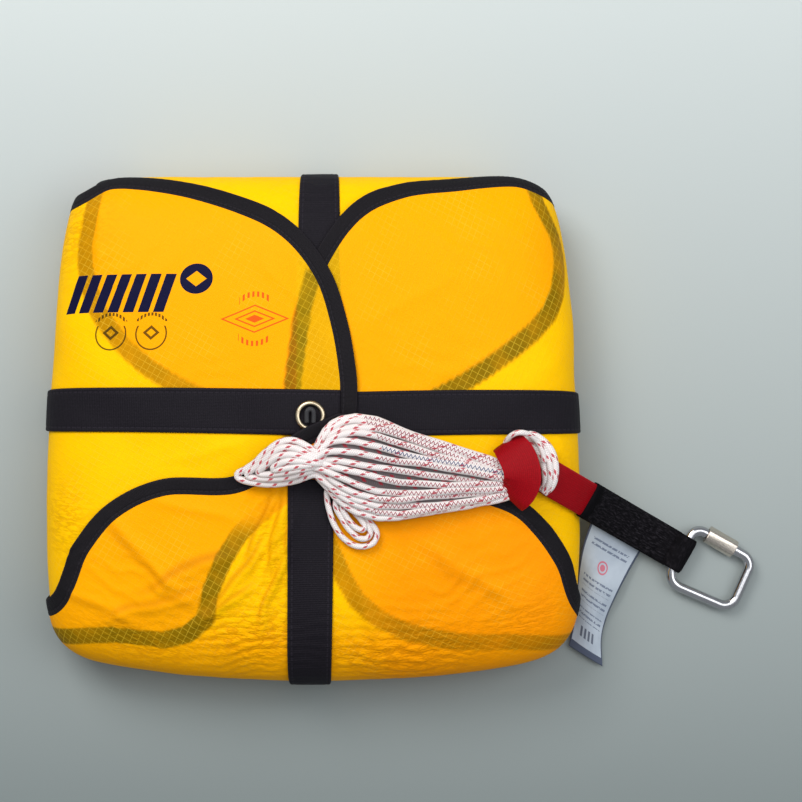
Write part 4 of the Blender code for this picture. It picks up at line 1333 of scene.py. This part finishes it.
class MakeHank(bpy.types.Operator):
    """Lines of the hank: fanned strands, the tail's loops and the core between them"""

    bl_idname = "parachute.hank"
    bl_label = "Line hank"

    def execute(self, context):
        radius = context.scene.parachute.line_diameter / 2
        stations = np.linspace(*HANK_SPAN, 120)
        for index, (share, level, sewn, blue) in enumerate(STRANDS):
            sway = np.sin(stations / 13.0 + index * 1.7) * 0.7 + np.sin(stations / 5.1 + index * 2.9) * 0.22
            v, z = hank_section(stations, share, level)
            z = z + 0.5 * np.sin(stations / 9.0 + index * 2.3) + (0.8 if index % 2 else 0)
            path = over_pack(stations * MM, (v + sway) * MM, z * MM)
            finish = finish_of("line_blue" if blue else "line")
            made = cord_piece(f"line_strand_{index + 1}", path, radius * 0.97, finish, sewn=(sewn, 0.97),
                              phase=index * 0.0047)
            belongs(made, "line", *(["line_hank"] if index == 0 else []))
        for index, loop in enumerate(TAIL_LOOPS):
            path = over_pack(*(smooth_path(loop, 90) * MM).T)
            made = cord_piece(f"line_tail_{index + 1}", path, radius, finish_of("line"), phase=index * 0.006)
            belongs(made, "line")
        self.core()
        return {"FINISHED"}

    def core(self):
        """Packed inner lines that fill the hank under its outer strands, darkened with painted shade where
        they show between them.
        """
        stations = np.linspace(CORE[0][0], CORE[-1][0], 90)
        sides = 60
        table = smooth_path(CORE, 300)
        angles = np.linspace(0, 2 * math.pi, sides, endpoint=False)
        rings = []
        for u in stations:
            upper, lower, height = (np.interp(u, table[:, 0], table[:, k]) for k in (1, 2, 3))
            swell = 1 + 0.05 * np.abs(np.sin(angles * 7 + u * 0.05))
            v = ((upper + lower) / 2 + (upper - lower) / 2 * np.cos(angles) * swell) * MM
            share = 0.36 + np.where(np.sin(angles) > 0, 0.64 * swell, 0.3) * np.sin(angles)
            us = np.full(sides, u * MM)
            rings.append(over_pack(us, v, np.maximum(height * share, 0.8) * MM))
        made = swept("line_core", rings, stations * MM, np.linspace(0, 7, sides + 1), finish_of("line_in_painted_shade"),
                     {"sewn": np.zeros(len(stations) * sides)})
        belongs(made, "line")


class MakeBights(bpy.types.Operator):
    """Slack bights of line below the hank, and the loops over the strap"""

    bl_idname = "parachute.bights"
    bl_label = "Slack lines"

    def execute(self, context):
        radius = context.scene.parachute.line_diameter / 2
        for rank, (name, points) in enumerate(BIGHTS.items()):
            flat = smooth_path(points, 90) * MM
            tuck = np.clip(1 - lengths(flat) / TUCK_LENGTH, 0, 1) ** 2
            rest = radius + SLACK_SEAT + tuck * TUCK_LIFT
            rest = rest + rank * SLACK_STACK * np.sin(math.pi * np.linspace(0, 1, 90))
            made = cord_piece(name.replace("line_", "slack_line_"), over_pack(*flat.T, rest), radius * 0.85,
                              finish_of("line"), phase=rank * 0.003)
            belongs(made, "line", *([name] if name in frame["nodes"] else []))
        middle = smooth_path(LOOP_PATH, 50) * MM
        side = -across_plan(middle)
        arch = np.sin(math.pi * np.linspace(0.12, 0.9, 50))[:, None]
        edge = cord_piece("line_loop_edge", smooth_path(LOOP_EDGE, 50) * MM, radius * 0.8, finish_of("line"))
        belongs(edge, "line")
        for index, (offset, lift) in enumerate(LOOP_RUNS):
            path = middle + side * offset * MM * arch + np.array([0, 0, lift * MM])
            made = cord_piece(f"line_loop_{index + 1}", path, radius, finish_of("line"), phase=index * 0.004)
            belongs(made, "line", *(["line_loops"] if index == 0 else []))
        return {"FINISHED"}


def show_through(layer, u, v):
    """How many plies lie under a flap's points, and how strongly hidden tapes and bindings show in it."""
    plies = np.zeros(np.shape(u))
    hidden = np.zeros(np.shape(u))
    backed = np.zeros(np.shape(u))
    for fade, name in zip(SHOW_THROUGH, reversed(LAYERS[:layer])):
        into = depth_inside(FLAP_OUTLINES[name], u, v)
        plies += rise_between(into, -1 * MM, 1 * MM)
        binding = rise_between(into, -0.6 * MM, 0.6 * MM) * (1 - rise_between(into, 9.4 * MM, 10.6 * MM))
        tape = rise_between(depth_inside(TAPE_OUTLINES[name], u, v), -0.6 * MM, 0.6 * MM)
        hidden = np.maximum(hidden, fade * np.maximum(binding, 0.6 * tape))
        backed = np.maximum(backed, tape)
    return plies * (1 - 0.8 * backed), hidden


class MakePack(bpy.types.Operator):
    """The filled pack under its flaps"""

    bl_idname = "parachute.pack"
    bl_label = "Filled pack"

    def execute(self, context):
        count = PACK_GRID
        ladder = np.sin(np.linspace(-math.pi / 2, math.pi / 2, count)) * 0.6 + np.linspace(-1, 1, count) * 0.4
        p, q = np.meshgrid(ladder, ladder, indexing="ij")
        ring = np.maximum(np.abs(p), np.abs(q))
        square = (np.abs(p) ** SQUARENESS + np.abs(q) ** SQUARENESS) ** (1 / SQUARENESS)
        scale = np.where(ring > 0, ring / np.maximum(square, 1e-9), 1) * REACH[-1] / MEAN_HALF
        u, v = p * HALF_WIDTH * scale, q * HALF_LENGTH * scale
        lift = wrinkles(u, v) * 0.9 - CONTENT_INSET
        points = skin(u, v, lift)
        edge = np.ones_like(u, bool)
        edge[1:-1, 1:-1] = False
        points[..., 2] = np.where(edge, BASE_CLEARANCE, np.maximum(points[..., 2], SKIN_CLEARANCE))
        index = np.arange(count * count).reshape(count, count)
        a, b, c, d = index[:-1, :-1], index[1:, :-1], index[1:, 1:], index[:-1, 1:]
        quads = np.stack([a.ravel(), b.ravel(), c.ravel(), d.ravel()], -1)
        rim = np.concatenate([index[:-1, 0], index[-1, :-1], index[:0:-1, -1], index[0, :0:-1]])
        faces = list(quads) + [rim[::-1]]
        flat = np.stack([u, v], -1).reshape(-1, 2)
        corners = np.concatenate([quads.ravel(), rim[::-1]])
        made = add_mesh("filled_pack", points.reshape(-1, 3), faces, flat[corners], finish_of("pack_cloth"))
        rework(made, lambda shape: bmesh.ops.triangulate(
            shape, faces=[face for face in shape.faces if len(face.verts) > 4]))
        belongs(made, "cloth", "pack_body")
        return {"FINISHED"}


def band(name, one, two, layer, extra, section, made_of, width, pucker):
    """Flat woven band between two edge lines, laid on the stack, closed all round."""
    shares = np.array([s for s, h in section])
    heights = np.array([h for s, h in section]) * MM
    place = one[:, None] + (two - one)[:, None] * shares[None, :, None]
    u, v = place[..., 0], place[..., 1]
    run = lengths(one) * 0.5 + lengths(two) * 0.5
    ripple = pucker * MM * np.sin(run / SEWING_PITCH * 2 * math.pi)[:, None] * (heights > 0.3 * MM)[None, :]
    lift = stack_height(u, v, layer) + extra(u, v) + wrinkles(u, v) + heights[None, :] + ripple
    rings = skin(u, v, lift)
    around = np.append(shares, shares[0]) * width
    return swept(name, rings, run, around, made_of)


def flap_grid(name):
    """Pattern coordinates of a flap's cloth, row by row from its base to its tip."""
    tucked = flap_rim(name, FLAP_ROWS, BINDING_WIDTH * TUCK_SHARE)[1]
    even = np.linspace(0, 1, FLAP_COLUMNS[name] + 1)
    across = 0.6 * even + 0.4 * (0.5 - 0.5 * np.cos(math.pi * even))
    first = tucked[:FLAP_ROWS, None]
    second = tucked[:FLAP_ROWS - 1:-1][:, None]
    grid = first + (second - first) * across[None, :, None]
    fade = np.clip(1 - np.linspace(0, 1, FLAP_ROWS) / 0.45, 0, 1) ** 2
    bulge = FLAPS[name]["sag"] * MM * fade[:, None] * (1 - np.abs(2 * across - 1) ** 6)[None, :]
    return grid[..., 0], grid[..., 1] + bulge


class MakeFlaps(bpy.types.Operator):
    """The four flaps with their bindings and tapes, lying over each other"""

    bl_idname = "parachute.flaps"
    bl_label = "Flaps, bindings and tapes"

    def execute(self, context):
        for layer, name in enumerate(LAYERS):
            u, v = flap_grid(name)
            cloth = self.cloth(layer, name, u, v, context.scene.parachute.cloth_gauge)
            binding = band(f"binding_{name}_band", *flap_rim(name, FLAP_ROWS, BINDING_WIDTH), layer,
                           lambda a, b: 0, BINDING_SECTION, finish_of("binding"), BINDING_WIDTH, 0.06)
            line = smooth_path(TAPES[name], 150, True) * MM
            room = CLOTH + PLY_GAP * (1 + 0.5 * layer) * 0.8
            sides = [strip_side(line, half) for half in (TAPE_WIDTH / 2, -TAPE_WIDTH / 2)]
            tape = band(f"tape_{name}_band", *sides, layer,
                        lambda a, b: room * shoulder_ease(a, b) + TAPE_SEAT, TAPE_SECTION, finish_of("tape"),
                        TAPE_WIDTH, 0.04)
            belongs(cloth, "cloth", f"flap_{name}")
            belongs(binding, "binding", f"binding_{name}")
            belongs(tape, "tape", f"tape_{name}")
        return {"FINISHED"}

    def cloth(self, layer, name, u, v, gauge):
        """Cloth of a flap, with what shows through it."""
        plies, hidden = show_through(layer, u, v)
        if name == "bottom":
            # Painted shade: the bottom flap's base, down the pack's front, takes the colour of stacked cloth.
            plies = np.maximum(plies, BASE_SHADE_PLIES - BASE_SHADE_PLIES * rise_between(v, *BASE_SHADE_FADE))
            plies += RIGHT_PLIES * rise_between(u, *RIGHT_FADE)
            hidden *= 1 - BAND_LOSS * rise_between(v, *BAND_FADE)
        lift = stack_height(u, v, layer) + CLOTH_SEAT + wrinkles(u, v)
        return net(f"flap_{name}_cloth", skin(u, v, lift), np.stack([u, v], -1),
                   finish_of("printed_cloth" if name == "left" else "cloth"), gauge,
                   {"plies": plies, "hidden": hidden, "creased": creased_at(u, v),
                    "fold_plies_and_shade": fold_plies_and_shade_at(u, v)})


def eyelet_place():
    """Middle of the eyelet's underside."""
    u, v = np.array(EYELET_PLACE[0]), np.array(EYELET_PLACE[1])
    lift = stack_height(u, v, 2) + CLOTH + TAPE_THICK + 3 * PLY_GAP + wrinkles(u[None], v[None])[0]
    return Vector(skin(u, v, lift))


class MakeEyelet(bpy.types.Operator):
    """Rolled eyelet of the left tape with the elastic's fold in it"""

    bl_idname = "parachute.eyelet"
    bl_label = "Eyelet and elastic"

    def execute(self, context):
        middle = eyelet_place()
        deselect()
        bpy.ops.mesh.primitive_circle_add(vertices=64, radius=EYELET_BORE, location=middle)
        ring = context.object
        ring.name = "rolled_eyelet"
        bpy.ops.object.mode_set(mode="EDIT")
        bpy.ops.mesh.select_all(action="SELECT")
        radius, height = EYELET_BORE / MM, 0.0
        for wide, high in EYELET_SECTION:
            bpy.ops.mesh.extrude_region_move(TRANSFORM_OT_translate={"value": (0, 0, (high - height) * MM)})
            share = wide / radius
            bpy.ops.transform.resize(value=(share, share, 1), center_override=middle)
            radius, height = wide, high
        bpy.ops.object.mode_set(mode="OBJECT")
        rework(ring, lambda shape: bmesh.ops.bridge_loops(
            shape, edges=[edge for edge in shape.edges if edge.is_boundary]))
        settle(ring, finish_of("eyelet"))
        belongs(ring, "eyelet", "eyelet")
        path = smooth_path(ELASTIC_FOLD, 60) * MM + np.array(middle)
        rings, around = round_rings(path, ELASTIC_HALF_WIDTH, ELASTIC_HALF_HEIGHT, 14)
        elastic = swept("folded_elastic", rings, lengths(path), around, finish_of("elastic"))
        belongs(elastic, "elastic", "closing_elastic")
        return {"FINISHED"}


def strap_axes():
    """Unit vectors of the strap in plan: towards the link and across it."""
    ahead = np.array([math.cos(LINK_TURN), math.sin(LINK_TURN), 0])
    return ahead, np.array([-ahead[1], ahead[0], 0])


def webbing(name, path, across, width, thick, made_of, crown=0.0, ripple=None):
    """Flat webbing or sleeve along a path, with soft edges."""
    path = np.asarray(path, float)
    across = np.broadcast_to(across, path.shape)
    up = unit(np.cross(np.gradient(path, axis=0), across))
    angles = np.linspace(0, 2 * math.pi, 48, endpoint=False)
    x = np.sign(np.cos(angles)) * np.abs(np.cos(angles)) ** 0.28
    y = np.sign(np.sin(angles)) * np.abs(np.sin(angles)) ** 0.75
    width = np.broadcast_to(width, len(path))
    thick = np.broadcast_to(thick, len(path))
    rings = []
    for k in range(len(path)):
        lift = y * thick[k] / 2 + crown * (1 - x ** 2) * (y > 0)
        if ripple is not None:
            lift = lift + ripple(k / (len(path) - 1), x) * (y > 0)
        rings.append(path[k] + np.outer(x * width[k] / 2, across[k]) + np.outer(lift, up[k]))
    around = np.append((x + 1) / 2 * width.max(), width.max())
    return swept(name, rings, lengths(path), around, made_of)


class MakeBridle(bpy.types.Operator):
    """Red bridle webbing, its loop over the lines, and the black sleeve with its folded end"""

    bl_idname = "parachute.bridle"
    bl_label = "Bridle and sleeve"

    def execute(self, context):
        self.hitch()
        ahead, side = strap_axes()
        table = smooth_path(BRIDLE, 120)
        line = np.array(LINK_PLACE) - table[:, :1] * MM * ahead
        line[:, 2] = table[:, 1] * MM
        split = int(np.argmin(np.abs(table[:, 0] - SLEEVE_START)))
        made = webbing("bridle_run", line[:split + 4], side, WEBBING_WIDTH - STRAP_EASE, STRAP_THICK,
                       finish_of("bridle"))
        belongs(made, "bridle", "bridle_strap")
        self.sleeve(line[split:], side)
        self.cuff()
        return {"FINISHED"}

    def hitch(self):
        """Red loop over the end of the hank."""
        points = smooth_path(HITCH, 60) * MM
        u, v, height = points.T
        base = skin(u * HITCH_STRETCH, v, pack_top(u, v))[:, 2]
        path = np.stack([u, v, base + height], -1)
        across = across_plan(path)
        across[:8] = across[8]
        across[-8:] = across[-9]
        width = WEBBING_WIDTH * (0.88 + 0.12 * rise_between(np.linspace(0, 1, 60), 0.02, 0.34))
        made = webbing("bridle_loop", path, across, width, HITCH_THICK, finish_of("bridle"))
        belongs(made, "bridle", "bridle_hitch")

    def sleeve(self, path, side):
        """Black cloth sleeve with its hem and soft folds."""
        grow = np.linspace(0, 1, len(path))
        thick = (SLEEVE_THICK + SLEEVE_GROWTH * grow) * (0.9 + 0.1 * rise_between(grow, 0.0, 0.06))

        def folds(share, x):
            soft = 0.55 * np.exp(-((share - 0.86) / 0.035) ** 2)
            soft = soft + 0.4 * np.exp(-((share - 0.55 - 0.06 * x) / 0.04) ** 2)
            hem = 0.5 * (1 - rise_between(share, 0.045, 0.065))
            long = 0.35 * np.exp(-((x - 0.35) / 0.12) ** 2) * rise_between(share, 0.1, 0.4)
            return (hem - soft + long + 0.12 * np.sin(share * 90 + 3 * x)) * MM

        made = webbing("sleeve_tube", path, side, SLEEVE_WIDTH, thick, finish_of("sleeve"), SLEEVE_CROWN,
                       folds)
        belongs(made, "sleeve", "bridle_sleeve")

    def cuff(self):
        """Folded end of the sleeve round the link's near bar, open to its eye."""
        plane = link_matrix()
        outer, inner = CUFF_RADIUS, BAR / 2 + CUFF_PLAY
        quarter = math.pi / 2
        bend = [(outer * math.cos(a), outer * math.sin(a)) for a in np.linspace(-quarter, quarter, 25)]
        shell = np.array(bend + CUFF_BACK)
        angles = np.arctan2(shell[:, 1], shell[:, 0])
        hole = np.stack([inner * np.cos(angles), inner * np.sin(angles)], -1)
        stations = np.linspace(-1, 1, 25)
        half = SLEEVE_WIDTH / 2 - 0.3 * MM
        outside = [(share, shell * (1 - 0.16 * abs(share) ** 8)) for share in stations]
        inside = [(share, hole) for share in stations[::-1]]
        rings = np.array([[plane @ Vector((p, share * half, q)) for p, q in section]
                          for share, section in outside + inside])
        along = np.concatenate([stations * half, stations * half + 3 * half]) + CUFF_PATTERN_START
        count, sides = rings.shape[:2]
        faces, uv = tube_faces(count, sides, along, np.linspace(0, CUFF_GIRTH, sides + 1), closed=True)
        made = add_mesh("sleeve_cuff", rings.reshape(-1, 3), faces, uv, finish_of("sleeve"))
        rework(made)
        belongs(made, "sleeve", "bridle_cuff")


def link_matrix():
    """Place of the link's own plane: its near bar is the Y axis."""
    turn = Matrix.Rotation(LINK_TURN, 4, "Z") @ Matrix.Rotation(LINK_DIP, 4, "Y")
    return Matrix.Translation(Vector(LINK_PLACE)) @ turn


def across_bar(plane):
    """Turn of a round section that stands across the link's long bars."""
    return (plane.to_3x3() @ Matrix.Rotation(math.pi / 2, 3, "Y")).to_euler()


class MakeLink(bpy.types.Operator):
    """Polished bar of the quick link, bent round from one side of its gap to the other"""

    bl_idname = "parachute.link"
    bl_label = "Link bar"

    def execute(self, context):
        plane = link_matrix()
        gap_side = LINK_CORNERS[0][1] * MM
        here = Vector((GAP_END, gap_side, 0))
        deselect()
        bpy.ops.mesh.primitive_circle_add(vertices=28, radius=BAR / 2, fill_type="NGON",
                                          location=plane @ here, rotation=across_bar(plane))
        bar = context.object
        bar.name = "polished_link"
        bpy.ops.object.mode_set(mode="EDIT")
        bpy.ops.mesh.select_all(action="SELECT")
        normal = plane.to_3x3() @ Vector((0, 0, 1))
        corners = [Vector((a * MM, b * MM, 0)) for a, b, r in LINK_CORNERS]
        for index, corner in enumerate(corners):
            before = (corners[index - 1] - corner).normalized()
            after = (corners[(index + 1) % len(corners)] - corner).normalized()
            half = before.angle(after) / 2
            radius = LINK_CORNERS[index][2] * MM
            bend_from = corner + before * radius / math.tan(half)
            centre = corner + (before + after).normalized() * radius / math.sin(half)
            self.pull(plane, bend_from - here)
            bpy.ops.mesh.spin(steps=12, angle=math.pi - 2 * half, center=plane @ centre, axis=normal)
            here = corner + after * radius / math.tan(half)
        self.pull(plane, Vector((GAP_START, gap_side, 0)) - here)
        bpy.ops.object.mode_set(mode="OBJECT")
        rework(bar, lambda shape: bmesh.ops.remove_doubles(shape, verts=shape.verts, dist=0.01 * MM))
        settle(bar, finish_of("steel"))
        belongs(bar, "steel", "link_bar")
        return {"FINISHED"}

    def pull(self, plane, run):
        """Draws the bar on by a run in the link's own plane."""
        bpy.ops.mesh.extrude_region_move(TRANSFORM_OT_translate={"value": plane.to_3x3() @ run})


class MakeNut(bpy.types.Operator):
    """Hexagonal screw nut of the link"""

    bl_idname = "parachute.nut"
    bl_label = "Screw nut"

    def execute(self, context):
        plane = link_matrix()
        middle = plane @ Vector((NUT_START + NUT_LENGTH / 2, LINK_CORNERS[0][1] * MM, 0))
        turn = across_bar(plane)
        nut = self.prism("hex_nut", 6, NUT_FLATS / 2 / math.cos(math.pi / 6), NUT_LENGTH, middle, turn)
        self.bevel(nut, NUT_CHAMFER, 3, 30)
        for name, sides, radius, operation in (("round_blank", 96, NUT_ROUND, "INTERSECT"),
                                               ("bore", 40, BAR / 2 + NUT_PLAY, "DIFFERENCE")):
            cutter = self.prism(name, sides, radius, NUT_LENGTH * 1.5, middle, turn)
            cut = nut.modifiers.new(name, "BOOLEAN")
            cut.operation = operation
            cut.object = cutter
            apply_modifiers(nut)
            bpy.data.objects.remove(cutter, do_unlink=True)
        self.bevel(nut, NUT_SOFTENING, 2, 25)
        settle(nut, finish_of("nut"))
        belongs(nut, "steel", "link_nut", body="nut")
        return {"FINISHED"}

    def prism(self, name, sides, radius, length, middle, turn):
        """Upright prism or cylinder along the bar."""
        deselect()
        bpy.ops.mesh.primitive_cylinder_add(vertices=sides, radius=radius, depth=length, location=middle,
                                            rotation=turn)
        made = bpy.context.object
        made.name = name
        return made

    def bevel(self, made, width, segments, least_angle):
        """Rounded edges wherever faces meet at more than an angle in degrees."""
        edges = made.modifiers.new("edges", "BEVEL")
        edges.width = width
        edges.segments = segments
        edges.limit_method = "ANGLE"
        edges.angle_limit = math.radians(least_angle)
        apply_modifiers(made)


class MakeLabel(bpy.types.Operator):
    """Care label hanging from the sleeve beside the pack"""

    bl_idname = "parachute.label"
    bl_label = "Label"

    def execute(self, context):
        stations = np.linspace(0, 1, 49)
        rows = []
        for near_x, near_y, near_z, far_x, far_y, far_z, curl in LABEL:
            near = np.array([near_x, near_y, near_z])
            far = np.array([far_x, far_y, far_z])
            row = near + (far - near) * stations[:, None]
            row[:, 2] += curl * np.sin(math.pi * stations)
            rows.append(row)
        fine = np.stack([smooth_path(column, 90) for column in np.array(rows).swapaxes(0, 1)], 1)
        down = np.linspace(0, LABEL_LENGTH / MM, 90)
        across = np.linspace(0, LABEL_WIDTH / MM, 49)
        fine[..., 2] += 0.35 * np.sin(down / 6.0)[:, None] * np.sin(across / 8.0 + 1)[None, :]
        uv = np.stack(np.meshgrid(down, across, indexing="ij"), -1)
        made = net("care_label", fine * MM, uv * MM, finish_of("label"), LABEL_THICK)
        belongs(made, "label", "label")
        return {"FINISHED"}


STEPS = (MakeStage, MakeHank, MakeBights, MakePack, MakeFlaps, MakeEyelet, MakeBridle, MakeLink, MakeNut,
         MakeLabel)


class ParachutePanel(bpy.types.Panel):
    """Lists the parachute's settings and makers"""

    bl_idname = "VIEW3D_PT_parachute"
    bl_label = "Packed parachute"
    bl_space_type = "VIEW_3D"
    bl_region_type = "UI"
    bl_category = "Parachute"

    def draw(self, context):
        for key in ParachuteSettings.__annotations__:
            self.layout.prop(context.scene.parachute, key)
        for step in STEPS:
            self.layout.operator(step.bl_idname)


def register():
    for one in (ParachuteSettings, *STEPS, ParachutePanel):
        bpy.utils.register_class(one)
    bpy.types.Scene.parachute = bpy.props.PointerProperty(type=ParachuteSettings)


def unregister():
    del bpy.types.Scene.parachute
    for one in (ParachutePanel, *STEPS[::-1], ParachuteSettings):
        bpy.utils.unregister_class(one)


def main():
    register()
    for step in STEPS:
        group, name = step.bl_idname.split(".")
        getattr(getattr(bpy.ops, group), name)()


if __name__ == "__main__":
    main()
